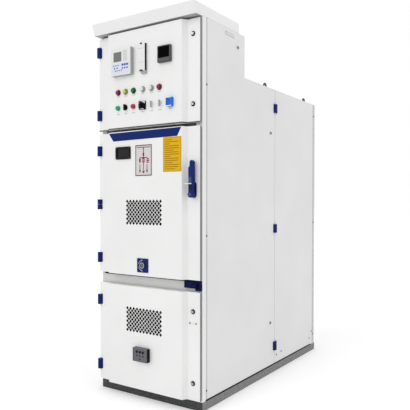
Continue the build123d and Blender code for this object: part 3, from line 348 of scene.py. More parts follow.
def make_finishes(tints):
    """All finishes of the panel, by name."""
    # Colour, roughness, fineness and strength of the grain, and shine of each coat
    coats = {
        "door_coat": (tints.door_paint, 0.42, 900.0, 0.1, 0.4),
        "body_coat": (tints.body_paint, 0.46, 900.0, 0.1, 0.4),
        "rail_paint": (tints.rail_paint, 0.5, 900.0, 0.1, 0.3),
        "navy_enamel": (tints.navy, 0.32, 500.0, 0.08, 0.12),
        "blue_plastic": (tints.blue, 0.34, 600.0, 0.1, 0.12),
        "operator_plastic": (tints.dark_blue, 0.4, 600.0, 0.1, 0.05),
        "slate_plastic": (tints.slate, 0.45, 600.0, 0.1, 0.12),
        "banner_blue": (tints.banner, 0.42, 900.0, 0.05, 0.1),
        "seal_rubber": (tints.rubber, 0.75, 400.0, 0.3, 0.1),
        "gasket_grey": (tints.gasket, 0.7, 400.0, 0.25, 0.2),
        "screen_mesh": (tints.screen, 0.8, 1500.0, 0.5, 0.02),
        "edging_rubber": (tints.edging, 0.7, 400.0, 0.25, 0.2),
        "black_plastic": (tints.black, 0.4, 900.0, 0.15, 0.12),
        "graphite_plastic": (tints.graphite, 0.45, 900.0, 0.15, 0.2),
        "knob_plastic": (tints.knob, 0.4, 900.0, 0.1, 0.3),
        "grey_plastic": (tints.grey, 0.45, 900.0, 0.12, 0.3),
        "white_plastic": (tints.white, 0.42, 900.0, 0.08, 0.4),
        "keypad_film": (tints.keypad, 0.5, 700.0, 0.08, 0.3),
        "key_rubber": (tints.key, 0.55, 700.0, 0.12, 0.2),
        "display_film": (tints.display, 0.22, 300.0, 0.03, 0.2),
        "meter_glass": (tints.screen, 0.3, 200.0, 0.01, 0.01),
        "recess_paint": (tints.recess, 0.6, 700.0, 0.1, 0.15),
        "indicator_plastic": (tints.indicator, 0.5, 900.0, 0.15, 0.2),
        "button_green": (tints.press_green, 0.32, 700.0, 0.06, 0.25),
        "button_red": (tints.press_red, 0.32, 700.0, 0.06, 0.25),
        "block_plastic": (tints.block, 0.3, 700.0, 0.06, 0.25),
        "ruled_yellow": (tints.ruled, 0.5, 60.0, 0.1, 0.15),
        "ruled_lines": (tints.ruling, 0.55, 900.0, 0.05, 0.15),
        "diagram_plate": (tints.diagram, 0.45, 900.0, 0.05, 0.3),
        "diagram_red": (tints.diagram_red, 0.5, 900.0, 0.05, 0.2),
        "diagram_black": (tints.diagram_black, 0.5, 900.0, 0.05, 0.2),
    }
    for name, (base, roughness, grain, relief, shine) in coats.items():
        coated(name, base, roughness, grain, relief, shine)
    coated("bright_steel", tints.steel, 0.22, 1200.0, 0.06, shade=0.9, cloud=40.0, metallic=1.0)
    zinced("zinc_sheet", tints.zinc, roughness=0.42)
    scuffed("base_front_paint", tints.base_front, roughness=0.6)
    scuffed("base_side_paint", tints.base_side, roughness=0.6)
    glazed("pane_glass", tints.black)
    for colour in LENS_COLOURS:
        base = getattr(tints, colour)
        lensed(f"lens_{colour}", base)
        # Darker copy of each lens colour for its flank: painted shade
        lensed(f"flank_{colour}", shaded(base, LENS_FLANK_PAINTED_SHADE))


def finish(name):
    """A finish by name."""
    return bpy.data.materials[name]


# Outlines in a face's own axes, in metres
def around(middle, radius, turn):
    """Point at a turn round a middle."""
    return (middle[0] + radius * math.cos(turn), middle[1] + radius * math.sin(turn))


def rounded(width, height, radius, middle=(0.0, 0.0), steps=5):
    """Rectangle with round corners, as points in order."""
    points = []
    for quarter, (across, up) in enumerate(((1, 1), (-1, 1), (-1, -1), (1, -1))):
        centre = (middle[0] + across * (width / 2 - radius), middle[1] + up * (height / 2 - radius))
        turns = [math.pi / 2 * (quarter + step / steps) for step in range(steps + 1)]
        points += [around(centre, radius, turn) for turn in turns]
    return points


def circle(radius, middle=(0.0, 0.0), steps=32):
    """Circle as points in order."""
    return [around(middle, radius, 2 * math.pi * step / steps) for step in range(steps)]


def arc(middle, radius, start, end, steps=14):
    """Points of an arc, from a start to an end in degrees."""
    turns = [math.radians(start + (end - start) * step / steps) for step in range(steps + 1)]
    return [around(middle, radius, turn) for turn in turns]


# Keeps a sharp corner from running off when its sides move
MITRE_LIMIT = 0.2


def inset(outline, amount):
    """Move each side of an outline inwards."""
    moved = []
    count = len(outline)
    for index in range(count):
        before, here, after = (Vector(outline[(index + step) % count]) for step in (-1, 0, 1))
        into = (here - before).normalized()
        out = (after - here).normalized()
        side_in, side_out = Vector((-into.y, into.x)), Vector((-out.y, out.x))
        middle = side_in + side_out
        moved.append(tuple(here + middle * (amount / max(MITRE_LIMIT, 1.0 + side_in.dot(side_out)))))
    return moved


def ribbon(points, width):
    """Outline of a line of some width through points."""
    left, right = [], []
    count = len(points)
    for index, point in enumerate(points):
        before = Vector(points[max(index - 1, 0)])
        after = Vector(points[min(index + 1, count - 1)])
        along = (after - before).normalized()
        side = Vector((-along.y, along.x)) * width / 2
        left.append(tuple(Vector(point) + side))
        right.append(tuple(Vector(point) - side))
    return right + left[::-1]


# Profiles of heads, as shares of their radius: how wide, and how high
SCREW_HEAD = ((1.0, 0.0), (1.0, 0.25), (0.9, 0.45), (0.68, 0.6))
SCREW_STEPS = 24
CROSS_ARM, CROSS_WAIST, CROSS_DEPTH, CROSS_DRAFT = 0.52, 0.2, 0.35, 0.02
# Points of each quarter of a head that lie in an arm of its cross
CROSS_ARM_POINTS = (0, 1, 5)
WASHER = (1.6, 0.2)
BOLT_HEAD = ((1.0, 0.0), (1.0, 0.55), (0.86, 0.7))
# How far along an eased edge its middle loop lies, and how near two points of a ring are one
EASE_SHARE = 0.3
SAME_POINT = 1e-7


def head_loops(middle, radius, low, profile, steps):
    """Loops of a head with a profile in shares of its radius."""
    return [
        [(*point, low + radius * rise) for point in circle(radius * share, middle, steps)]
        for share, rise in profile
    ]


class Stock:
    """Mesh of one piece, built up on a face of the panel, with heights outwards from the face."""

    def __init__(self, plane):
        self.mesh = bmesh.new()
        self.plane = plane

    def loft(self, rows, finish_number=0, smooth=False, ends=True):
        """Skin loops of points, and close the two end loops."""
        loops = [[self.mesh.verts.new(self.plane @ Vector(point)) for point in row] for row in rows]
        faces = []
        for low, high in zip(loops, loops[1:]):
            for index in range(len(low)):
                after = (index + 1) % len(low)
                faces.append(self.mesh.faces.new((low[index], low[after], high[after], high[index])))
        for made in faces:
            made.smooth = smooth
        if ends:
            faces.append(self.mesh.faces.new(loops[0][::-1]))
            faces.append(self.mesh.faces.new(loops[-1]))
        for made in faces:
            made.material_index = finish_number

    def plate(self, outline, high, low=-TINY, edge=0.0, finish_number=0):
        """Flat plate on an outline, with its outer edge eased."""
        steps = [(0.0, low), (0.0, high - edge)]
        if edge:
            steps += [(EASE_SHARE * edge, high - EASE_SHARE * edge), (edge, high)]
        self.loft([[(*point, w) for point in inset(outline, a)] for a, w in steps], finish_number)

    def tile(self, size, place, corner, high, low=-TINY, edge=0.0, steps=3, finish_number=0):
        """Flat plate of a size with round corners."""
        self.plate(rounded(*size, corner, place, steps), high, low, edge, finish_number)

    def ring(self, outer, inner, high, low=-TINY, edge=0.0, finish_number=0):
        """Closed band between two outlines of as many points."""
        outward, inward = inset(outer, edge), inset(inner, -edge)
        rows = (
            (outer, low),
            (outer, high - edge),
            (outward, high),
            (inward, high),
            (inner, high - edge),
            (inner, low),
            (outer, low),
        )
        self.loft([[(*point, w) for point in row] for row, w in rows], finish_number, ends=False)
        bmesh.ops.remove_doubles(self.mesh, verts=self.mesh.verts, dist=SAME_POINT)

    def turned(self, middle, profile, finish_number=0, steps=32):
        """Turned part: radius and height pairs from the face outwards."""
        rows = [[(*point, high) for point in circle(radius, middle, steps)] for radius, high in profile]
        self.loft(rows, finish_number, smooth=True)

    def line(self, points, width, high, low=-TINY, finish_number=0):
        """Printed or pressed line through points."""
        self.plate(ribbon(points, width), high, low, finish_number=finish_number)

    def level_line(self, left, right, level, width, high, low=-TINY, finish_number=0):
        """Printed or pressed line at one level."""
        self.line([(left, level), (right, level)], width, high, low, finish_number)

    def screw(self, middle, radius, low=0.0, finish_number=0):
        """Pan-head screw with a cross recess."""
        loops = head_loops(middle, radius, low, SCREW_HEAD, SCREW_STEPS)
        high = low + radius * SCREW_HEAD[-1][1]
        cross = []
        for step in range(SCREW_STEPS):
            reach = radius * (CROSS_ARM if step % (SCREW_STEPS // 4) in CROSS_ARM_POINTS else CROSS_WAIST)
            cross.append(around(middle, reach, 2 * math.pi * step / SCREW_STEPS))
        loops.append([(*point, high) for point in cross])
        floor = high - radius * CROSS_DEPTH
        loops.append([(*point, floor) for point in inset(cross, radius * CROSS_DRAFT)])
        self.loft(loops, finish_number)

    def bolt(self, middle, radius):
        """Hexagon bolt head on a washer of the second finish."""
        wide, thick = (radius * share for share in WASHER)
        self.turned(middle, ((wide, 0.0), (wide, thick)), finish_number=1, steps=SCREW_STEPS)
        self.loft(head_loops(middle, radius, thick, BOLT_HEAD, steps=6))

    def piece(self, name, body, slot, *materials):
        """Finish the stock as a named piece that moves with a body."""
        if not self.mesh.faces:
            raise RuntimeError(f"{name} has no faces")
        data = bpy.data.meshes.new(name)
        self.mesh.normal_update()
        self.mesh.to_mesh(data)
        self.mesh.free()
        for material in materials:
            data.materials.append(finish(material))
        made = bpy.data.objects.new(name, data)
        bpy.context.scene.collection.objects.link(made)
        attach(made, body)


# Solids of the panel
SHARP_DEGREES = 35.0
FLAT_DEGREES = 0.5
WELD_REACH = 1e-5
# Least share of a normal along an axis for a face that looks partly, mostly or squarely that way
PARTLY, MOSTLY, SQUARELY = 0.5, 0.7, 0.9


def paint(node, *materials, choose=None):
    """Give a solid its finishes; choose tells a face's finish from its middle and its normal."""
    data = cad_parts[node].data
    data.materials.clear()
    for material in materials:
        data.materials.append(finish(material))
    for polygon in data.polygons:
        polygon.material_index = choose(polygon.center, polygon.normal) if choose else 0


def soften(node, width, segments=2):
    """Round the sharp edges of a solid's look, leaving its vertices alone."""
    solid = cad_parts[node]
    weld = solid.modifiers.new("Weld", "WELD")
    weld.merge_threshold = WELD_REACH
    flatten = solid.modifiers.new("Flatten", "DECIMATE")
    flatten.decimate_type = "DISSOLVE"
    flatten.angle_limit = math.radians(FLAT_DEGREES)
    flatten.delimit = {"MATERIAL"}
    round_off = solid.modifiers.new("Round", "BEVEL")
    round_off.width = width
    round_off.segments = segments
    round_off.limit_method = "ANGLE"
    round_off.angle_limit = math.radians(SHARP_DEGREES)
    round_off.use_clamp_overlap = True


STEPS = []


def step_of_the_work(operator):
    """Keep an operator in the order in which the panel is dressed."""
    STEPS.append(operator)
    return operator


@step_of_the_work
class SWITCHGEAR_OT_finishes(bpy.types.Operator):
    """Mix the finishes of the panel"""

    bl_idname = "switchgear.finishes"
    bl_label = "Mix Finishes"

    def execute(self, context):
        make_finishes(context.scene.panel_tints)
        return {"FINISHED"}


BODY_NODES = (
    "left_front_side_panel",
    "right_front_side_panel",
    "left_rear_side_panel",
    "right_rear_side_panel",
    "rear_lower_cover",
    "rear_upper_cover",
    "rear_roof",
    "instrument_roof",
)
POST_NODES = ("front_left_post", "front_right_post")
# Rails behind the upper gaps are painted near-black: painted shade in the gaps
RECESS_RAILS = ("top_rail", "upper_rail")
ZINC_NODES = (
    "rear_posts",
    "seam_posts",
    "relief_flaps",
    "instrument_floor",
    "breaker_floor",
    "instrument_back_wall",
    "breaker_back_wall",
)
NAVY_NODES = (
    "frame_hinge_knuckles",
    "instrument_door_knuckles",
    "breaker_door_knuckles",
    "cable_door_knuckles",
    "side_seam_clips",
)
# The floor plate is painted as dark as the end channels, so its edge gives a painted shadow line under the
# side panels
DARK_BASE_NODES = ("base_end_channels", "floor_plate", "lifting_lugs")
DOOR_PANELS = ("instrument_door_panel", "breaker_door_panel", "cable_door_panel")
DOOR_SHEET = 0.002
# Level of each punched vent, and half its width and height
VENT_LEVELS = {"breaker_door": 1.131, "cable_door": 0.481}
VENT_REACH = (0.15, 0.085)


def in_vent(point):
    """Whether a point of a door lies among the holes of a punched vent."""
    near = any(abs(point.z - level) < VENT_REACH[1] for level in VENT_LEVELS.values())
    return near and abs(point.x) < VENT_REACH[0]


@step_of_the_work
class SWITCHGEAR_OT_body(bpy.types.Operator):
    """Paint the enclosure, its base, doors and hinges"""

    bl_idname = "switchgear.body"
    bl_label = "Paint Enclosure"

    def execute(self, context):
        sheet_round = context.scene.panel_fittings.sheet_round
        closing_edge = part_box("breaker_door_panel")[1].x - TINY

        def door_finish(middle, normal):
            # Walls of the vent holes are painted near-black: painted shade inside the holes
            if abs(normal.y) < PARTLY and in_vent(middle):
                return 0
            # The closing edge on the right of each door is painted dark grey: painted shade in the gap
            # beside the frame
            return 2 if normal.x > SQUARELY and middle.x > closing_edge else 1

        # Front faces of the front posts take the band's grey: painted shade seen through the gaps
        def front_side(middle, normal):
            return 1 if normal.y < -SQUARELY else 0

        # The header's underside is painted grey: painted shade under its overhang
        def under_side(middle, normal):
            return 1 if normal.z < -SQUARELY else 0

        for nodes, material in (
            (BODY_NODES, "body_coat"),
            (ZINC_NODES, "zinc_sheet"),
            (NAVY_NODES, "navy_enamel"),
            (("sill_rail",), "door_coat"),
            (("band_rail",), "rail_paint"),
            (RECESS_RAILS, "recess_paint"),
            (DARK_BASE_NODES, "base_front_paint"),
            (("base_side_channels",), "base_side_paint"),
        ):
            for node in nodes:
                paint(node, material)
        for node in DOOR_PANELS:
            paint(node, "screen_mesh", "door_coat", "edging_rubber", choose=door_finish)
            soften(node, sheet_round, segments=1)
        for node in POST_NODES:
            paint(node, "door_coat", "rail_paint", choose=front_side)
        paint("header_trough", "door_coat", "grey_plastic", choose=under_side)
        for node in (*POST_NODES, *RECESS_RAILS, "band_rail", "sill_rail", *BODY_NODES, "header_trough"):
            soften(node, sheet_round)
        return {"FINISHED"}


LAMP_COLOURS = ("red", "yellow", "green", "clear", "clear", "red")
# Slope at which a lens turns into its flank, where the darker flank copy paints its shade, and heights of
# the bezels and dial plate before the door
LENS_FLANK_SLOPE = -0.72
PILOT_BEZEL = 0.0042
SELECTOR_PLATE = 0.007
# Radius of a lock's barrel, width of its slot, and height of its face before the door's edge strip
LOCK_BARREL = 0.0082
LOCK_SLOT = 0.003
LOCK_FACE = 0.0055


def middles(node, count, axis=0):
    """Middles of a node's like solids along an axis, from the lowest up."""
    seen = sorted(vertex.co[axis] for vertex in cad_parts[node].data.vertices)
    widest = sorted(range(1, len(seen)), key=lambda index: seen[index] - seen[index - 1], reverse=True)
    starts = [0] + sorted(widest[: count - 1])
    ends = [start - 1 for start in starts[1:]] + [len(seen) - 1]
    return [(seen[start] + seen[end]) / 2 for start, end in zip(starts, ends)]


def nearest(values, x):
    """Number of the value nearest to x."""
    return min(range(len(values)), key=lambda index: abs(values[index] - x))


@step_of_the_work
class SWITCHGEAR_OT_devices(bpy.types.Operator):
    """Finish the solids of the door devices, locks and handle"""

    bl_idname = "switchgear.devices"
    bl_label = "Finish Devices"

    def execute(self, context):
        lamps = middles("indicator_lamps", len(LAMP_COLOURS))
        buttons = middles("push_buttons", 2)
        switches = middles("selector_switches", 4)
        proud = DOOR_Y - PILOT_BEZEL

        # A lens's flank takes the darker copy of its colour, as painted shade; what lies behind the door is
        # graphite
        def lamp_finish(middle, normal):
            if middle.y > DOOR_Y - TINY:
                return 2 * len(lamps)
            return nearest(lamps, middle.x) + (len(lamps) if normal.y > LENS_FLANK_SLOPE else 0)

        def button_finish(middle, normal):
            return nearest(buttons, middle.x) if middle.y < DOOR_Y - TINY else len(buttons)

        # The pale knobs' sides before the bezel are painted grey: painted shade
        def switch_finish(middle, normal):
            if nearest(switches, middle.x) < 2 or middle.y > DOOR_Y - TINY:
                return 0
            return 2 if abs(normal.x) > PARTLY and middle.y < proud else 1

        def lock_finish(lock_x, lock_levels):
            def choose(middle, normal):
                across = middle.x - lock_x
                up = middle.z - lock_levels[nearest(lock_levels, middle.z)]
                # The slot inside each barrel is painted black: painted shade in the keyway
                in_slot = abs(across) < LOCK_SLOT / 2 + TINY and middle.y > STRIP_Y - LOCK_FACE
                outside = math.hypot(across, up) > LOCK_BARREL or middle.y > STRIP_Y
                return 0 if outside or in_slot else 1

            return choose

        def right_side(middle, normal):
            return 1 if normal.x > MOSTLY else 0

        # The relay's right side and underside are painted grey: painted shade
        def right_and_under(middle, normal):
            return 1 if normal.x > MOSTLY or normal.z < -MOSTLY else 0

        lenses = [f"{part}_{colour}" for part in ("lens", "flank") for colour in LAMP_COLOURS]
        paint("indicator_lamps", *lenses, "graphite_plastic", choose=lamp_finish)
        paint("push_buttons", "button_green", "button_red", "graphite_plastic", choose=button_finish)
        paint("selector_switches", "black_plastic", "knob_plastic", "grey_plastic", choose=switch_finish)
        for node in ("instrument_door_locks", "cable_door_locks"):
            _, _, (across, _), _ = front_of(node)
            paint(node, "black_plastic", "bright_steel", choose=lock_finish(across, middles(node, 2, 2)))
        paint("display_module", "white_plastic", "black_plastic", choose=right_side)
        paint("panel_meter", "graphite_plastic")
        paint("protection_relay", "white_plastic", "grey_plastic", choose=right_and_under)
        paint("test_block", "block_plastic")
        paint("viewing_window", "black_plastic")
        paint("window_pane", "pane_glass")
        paint("racking_port", "navy_enamel")
        paint("handle_escutcheon", "operator_plastic")
        # The handle's right side is painted navy, darker than its blue: painted shade
        paint("door_handle", "blue_plastic", "navy_enamel", choose=right_side)
        paint("earthing_operator", "operator_plastic")
        paint("live_indicator", "indicator_plastic", "black_plastic", choose=right_side)
        return {"FINISHED"}


# Fittings of the cabinet
SEAL_RIGHT_INSET = 0.014
SEAL_LEFT_INSET = 0.026
SEAL_CORNER = 0.008
SEAL_EASE = 0.002
# Insets of each door's seal at its foot and at its top; the breaker door's seal reaches below its foot, a
# dark line that paints the shadow under the door onto the band
SEAL_END_INSETS = {
    "instrument_door_panel": (0.0015, 0.0015),
    "breaker_door_panel": (-0.0125, 0.0015),
    "cable_door_panel": (0.0015, 0.005),
}


@step_of_the_work
class SWITCHGEAR_OT_seals(bpy.types.Operator):
    """Rubber seals on the frame behind the doors"""

    bl_idname = "switchgear.seals"
    bl_label = "Door Seals"

    def execute(self, context):
        sizes = context.scene.panel_fittings
        seals = Stock(FRAME_FACE)
        for panel, (foot_inset, top_inset) in SEAL_END_INSETS.items():
            low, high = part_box(panel)
            left, right = low.x + SEAL_LEFT_INSET, high.x - SEAL_RIGHT_INSET
            foot, top = low.z + foot_inset, high.z - top_inset
            outer = rounded(right - left, top - foot, SEAL_CORNER, ((left + right) / 2, (foot + top) / 2))
            seals.ring(outer, inset(outer, sizes.seal_width), sizes.seal_stand, low=0.0, edge=SEAL_EASE)
        seals.piece("door_seals", "cabinet", "device_black", "seal_rubber")
        return {"FINISHED"}


EDGING_HEIGHT = 0.007
EDGING_THICKNESS = 0.0012
# Half the width of a door's raised centre, and of the centre with its bevels
RAISED_REACH = 0.29
BEVEL_REACH = 0.31


@step_of_the_work
class SWITCHGEAR_OT_door_edging(bpy.types.Operator):
    """Near-black strip along the foot of the instrument door: painted shade under the door"""

    bl_idname = "switchgear.door_edging"
    bl_label = "Door Edging"

    def execute(self, context):
        low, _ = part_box("instrument_door_panel")
        path = [(low.x, STRIP_Y), (-BEVEL_REACH, STRIP_Y), (-RAISED_REACH, DOOR_Y)]
        path += [(-across, depth) for across, depth in reversed(path)]
        edging = Stock(face((1, 0, 0), (0, 1, 0), (0, 0, 1), (0, 0, low.z)))
        edging.plate(ribbon(path, EDGING_THICKNESS), EDGING_HEIGHT, low=0.0, edge=EASE)
        edging.piece("instrument_door_edging", "instrument_door", "device_dark_grey", "recess_paint")
        return {"FINISHED"}


# Places on the sides: depth and level, seen from the right
SIDE_BOLTS = ((-0.402, 2.149), (0.018, 1.67), (0.019, 0.357))
SMALL_SIDE_SCREWS = ((0.115, 0.112), (0.186, 0.12), (0.699, 0.158), (0.662, 0.109))
GROOVE_SCREWS = (0.111, 1.0, 1.861)
GROOVE_SCREW_DEPTH = 0.001
POST_DEPTH = 0.033
JOINT_STRIP_DEPTH = 0.0008
STRIP_CORNER = 0.001
STRIP_EASE = 0.0004
FOOT_STRIP = (0.0505, 0.06)
FOOT_STRIP_SETBACK = 0.03
FOOT_STRIP_STAND = 0.0012
ENTRY_COVER = (-0.487, 2.206)
ENTRY_COVER_SIZE = (0.096, 0.018)
ENTRY_COVER_CORNER = 0.003
ENTRY_COVER_STAND = 0.0016
ENTRY_COVER_EASE = 0.0006
# Dark ring round each entry cover: painted shade at the cover's edge
ENTRY_RING_WIDTH = 0.0028
ENTRY_RING_STAND = 0.0004


@step_of_the_work
class SWITCHGEAR_OT_side_fittings(bpy.types.Operator):
    """Joint strips, dark foot strips that paint the shadow line above the base, screws, bolts and cover
    plates of both sides
    """

    bl_idname = "switchgear.side_fittings"
    bl_label = "Side Fittings"

    def execute(self, context):
        sizes = context.scene.panel_fittings
        low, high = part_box("right_front_side_panel")
        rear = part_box("right_rear_side_panel")[1].y
        groove = FRONT_Y + POST_DEPTH
        sheet = high.x - low.x
        strip_size = (low.y - groove - TINY, high.z - low.z - TINY)
        foot_size = (rear - FRONT_Y - 2 * FOOT_STRIP_SETBACK, FOOT_STRIP[1] - FOOT_STRIP[0])
        for side, plane, mirror in SIDES:
            strip, foot, screws, bolts, cover = (Stock(plane) for _ in range(5))
            middle = mirror * (groove + low.y) / 2
            place = (middle, (low.z + high.z) / 2)
            strip.tile(strip_size, place, STRIP_CORNER, -JOINT_STRIP_DEPTH, -sheet, STRIP_EASE, steps=2)
            strip.piece(f"{side}_joint_strip", "cabinet", "base_paint", "gasket_grey")
            # Black strip along the foot of each side: painted shadow line above the base
            place = (mirror * (FRONT_Y + rear) / 2, sum(FOOT_STRIP) / 2)
            foot.tile(foot_size, place, STRIP_CORNER, FOOT_STRIP_STAND, edge=STRIP_EASE, steps=2)
            foot.piece(f"{side}_foot_strip", "cabinet", "base_paint", "seal_rubber")
            for level in GROOVE_SCREWS:
                screws.screw((middle, level), sizes.screw_radius, -GROOVE_SCREW_DEPTH)
            for along, level in SMALL_SIDE_SCREWS:
                screws.screw((mirror * along, level), sizes.screw_radius)
            screws.piece(f"{side}_side_screws", "cabinet", "bare_steel", "graphite_plastic")
            for along, level in SIDE_BOLTS:
                bolts.bolt((mirror * along, level), sizes.bolt_radius)
            bolts.piece(f"{side}_side_bolts", "cabinet", "bare_steel", "edging_rubber", "white_plastic")
            place = (mirror * ENTRY_COVER[0], ENTRY_COVER[1])
            outline = rounded(*ENTRY_COVER_SIZE, ENTRY_COVER_CORNER, place, steps=3)
            inner = inset(outline, ENTRY_RING_WIDTH)
            cover.plate(inner, ENTRY_COVER_STAND, edge=ENTRY_COVER_EASE)
            cover.ring(outline, inner, ENTRY_RING_STAND, finish_number=1)
            cover.piece(f"{side}_entry_cover", "cabinet", "body_paint", "body_coat", "edging_rubber")
        return {"FINISHED"}


REAR_SCREW_X = 0.385
REAR_SCREW_LEVELS = (0.13, 0.52, 0.92, 1.11, 1.5, 1.9)
COVER_SCREWS_ACROSS = (-0.24, 0.0, 0.24)
COVER_SCREW_MARGIN = 0.02
POST_SCREW_LEVELS = (0.131, 1.036, 1.887)
POST_SCREW_SHIFT = 0.015


@step_of_the_work
class SWITCHGEAR_OT_rear_fittings(bpy.types.Operator):
    """Screws of the rear covers and rear posts"""

    bl_idname = "switchgear.rear_fittings"
    bl_label = "Rear Fittings"

    def execute(self, context):
        radius = context.scene.panel_fittings.screw_radius
        places = [(x, level) for level in REAR_SCREW_LEVELS for x in (-REAR_SCREW_X, REAR_SCREW_X)]
        for node in ("rear_lower_cover", "rear_upper_cover"):
            low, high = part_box(node)
            levels = (low.z + COVER_SCREW_MARGIN, high.z - COVER_SCREW_MARGIN)
            places += [(x, level) for x in COVER_SCREWS_ACROSS for level in levels]
        screws = Stock(REAR_FACE)
        for place in places:
            screws.screw(place, radius)
        screws.piece("rear_cover_screws", "cabinet", "bare_steel", "bright_steel")
        low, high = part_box("rear_posts")
        along = (low.y + high.y) / 2 + POST_SCREW_SHIFT
        for side, plane, mirror in SIDES:
            posts = Stock(plane)
            for level in POST_SCREW_LEVELS:
                posts.screw((mirror * along, level), radius)
            posts.piece(f"{side}_rear_post_screws", "cabinet", "bare_steel", "graphite_plastic")
        return {"FINISHED"}


FLAP_COUNT = 3
FLAP_GAP = 0.04
FLAP_SCREW_MARGIN = 0.022
FLAP_SCREWS_ACROSS = (-0.285, -0.1, 0.1, 0.285)


@step_of_the_work
class SWITCHGEAR_OT_roof_fittings(bpy.types.Operator):
    """Screws that hold the relief flaps on the roof"""

    bl_idname = "switchgear.roof_fittings"
    bl_label = "Roof Fittings"

    def execute(self, context):
        radius = context.scene.panel_fittings.screw_radius
        low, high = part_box("relief_flaps")
        pitch = (high.y - low.y + FLAP_GAP) / FLAP_COUNT
        seat = high.z - REAR_ROOF_Z - TINY
        screws = Stock(ROOF_FACE)
        for number in range(FLAP_COUNT):
            front = low.y + number * pitch
            rear = front + pitch - FLAP_GAP
            for across in FLAP_SCREWS_ACROSS:
                for along in (front + FLAP_SCREW_MARGIN, rear - FLAP_SCREW_MARGIN):
                    screws.screw((across, along), radius, seat)
        screws.piece("relief_flap_screws", "cabinet", "bare_steel", "bright_steel")
        return {"FINISHED"}


OPERATOR_LINES = (0.05, 0.038, 0.044)
OPERATOR_LINE_START = (0.014, 0.012)
OPERATOR_LINE_PITCH = 0.009
OPERATOR_LINE_WIDTH = 0.0022
OPERATOR_ARC = (0.071, 0.022)
OPERATOR_ARC_RADIUS = 0.006
OPERATOR_ARC_DEGREES = (20, 250)


@step_of_the_work
class SWITCHGEAR_OT_operator_marks(bpy.types.Operator):
    """Plain marks of the earthing operator"""

    bl_idname = "switchgear.operator_marks"
    bl_label = "Operator Marks"

    def execute(self, context):
        stand = context.scene.panel_fittings.print_height
        low, high, _, plane = front_of("earthing_operator")
        marks = Stock(plane)
        left, top = low.x + OPERATOR_LINE_START[0], high.z - OPERATOR_LINE_START[1]
        for row, width in enumerate(OPERATOR_LINES):
            level = top - OPERATOR_LINE_PITCH * row
            marks.level_line(left, left + width, level, OPERATOR_LINE_WIDTH, stand)
        middle = (low.x + OPERATOR_ARC[0], low.z + OPERATOR_ARC[1])
        turn = arc(middle, OPERATOR_ARC_RADIUS, *OPERATOR_ARC_DEGREES)
        marks.line(turn, width=0.002, high=stand)
        marks.piece("operator_marks", "cabinet", "handle_blue", "navy_enamel")
        return {"FINISHED"}


# Fittings of the instrument door
RELAY_SCREEN = (0.0655, 0.0575)
RELAY_SCREEN_SHIFT = (-0.025, 0.03)
RELAY_WINDOW = (0.0664, 0.0584)
RELAY_WINDOW_RIM = 0.0024
RELAY_RIM_MARGIN = 0.006
RELAY_RIM_WIDTH = 0.0016
RELAY_PAD = (0.145, 0.064)
RELAY_PAD_DROP = 0.039
SOFT_KEYS = (-0.141, -0.122, -0.103)
# Level, size and stand of each row of keys, and where its keys are across the panel
KEY_ROWS = (
    (2.019, (0.007, 0.007), 0.0024, (-0.214, -0.196, -0.178)),
    (2.003, (0.008, 0.008), 0.0024, (-0.207, -0.186)),
    (1.987, (0.007, 0.007), 0.0024, (-0.201, -0.186, -0.168, -0.15)),
    (2.019, (0.014, 0.011), 0.0026, SOFT_KEYS),
    (1.999, (0.011, 0.008), 0.0024, SOFT_KEYS),
)
SIGNAL_LIGHTS = 8
SIGNAL_PITCH = 0.0085
SIGNAL_DROP = 0.02
SIGNAL_ACROSS = 0.028
SIGNAL_MARK = (0.034, 0.056)
SIGNAL_LENS = ((0.0022, -TINY), (0.0022, 0.0006), (0.0014, 0.0014))


@step_of_the_work
class SWITCHGEAR_OT_relay(bpy.types.Operator):
    """Display, rim, keypad and signal lights of the protection relay"""

    bl_idname = "switchgear.relay"
    bl_label = "Relay Face"

    def execute(self, context):
        low, high, (across, up), plane = front_of("protection_relay")
        screen, rim, pad, keys, lights = (Stock(plane) for _ in range(5))
        place = (across + RELAY_SCREEN_SHIFT[0], up + RELAY_SCREEN_SHIFT[1])
        screen.tile(RELAY_SCREEN, place, corner=0.001, high=-0.001, low=-0.0028, edge=EASE, steps=2)
        screen.piece("relay_display", "instrument_door", "device_grey", "display_film")
        width, height = high.x - low.x - 2 * RELAY_RIM_MARGIN, high.z - low.z - 2 * RELAY_RIM_MARGIN
        outline = rounded(width, height, radius=0.003, middle=(across, up))
        rim.ring(outline, inset(outline, RELAY_RIM_WIDTH), high=0.0007, edge=EASE)
        window = rounded(*RELAY_WINDOW, radius=0.0012, middle=place, steps=3)
        rim.ring(inset(window, -RELAY_WINDOW_RIM), window, high=0.0006, edge=0.0002)
        rim.piece("relay_face_rim", "instrument_door", "device_grey", "white_plastic")
        pad.tile(RELAY_PAD, (across, up - RELAY_PAD_DROP), corner=0.004, high=0.0008, edge=EASE, steps=4)
        pad.piece("relay_keypad", "instrument_door", "device_white", "keypad_film")
        for level, size, stand, places in KEY_ROWS:
            for x in places:
                keys.tile(size, (x, level), corner=0.002, high=stand, low=0.0005, edge=0.0006)
        keys.piece("relay_keys", "instrument_door", "device_dark_grey", "key_rubber")
        print_height = context.scene.panel_fittings.print_height
        left, right = (across + reach for reach in SIGNAL_MARK)
        for number in range(SIGNAL_LIGHTS):
            level = high.z - SIGNAL_DROP - number * SIGNAL_PITCH
            lights.turned((across + SIGNAL_ACROSS, level), SIGNAL_LENS, 0 if number else 1, steps=12)
            lights.level_line(left, right, level, width=0.0016, high=print_height, finish_number=2)
        finishes = ("lens_red", "lens_green", "indicator_plastic")
        lights.piece("relay_lights", "instrument_door", "device_grey", *finishes)
        return {"FINISHED"}


CLIP_SHIFT = 0.002
UPPER_CLIP = (0.013, 0.009)
LOWER_CLIP = (0.022, 0.008)
SEAM_MARGIN = 0.006
UPPER_SEAM_DROP = 0.03
LOWER_SEAM_RISE = 0.05
SOCKET_PLACE = (0.012, 0.03)
SOCKET_PITCH = 0.006
SOCKET = ((0.0016, -TINY), (0.0012, 0.0008))
MODULE_FOOT = (0.038, 0.018)
MODULE_FOOT_SHIFT = (0.016, -0.008)
MODULE_FOOT_STAND = 0.012


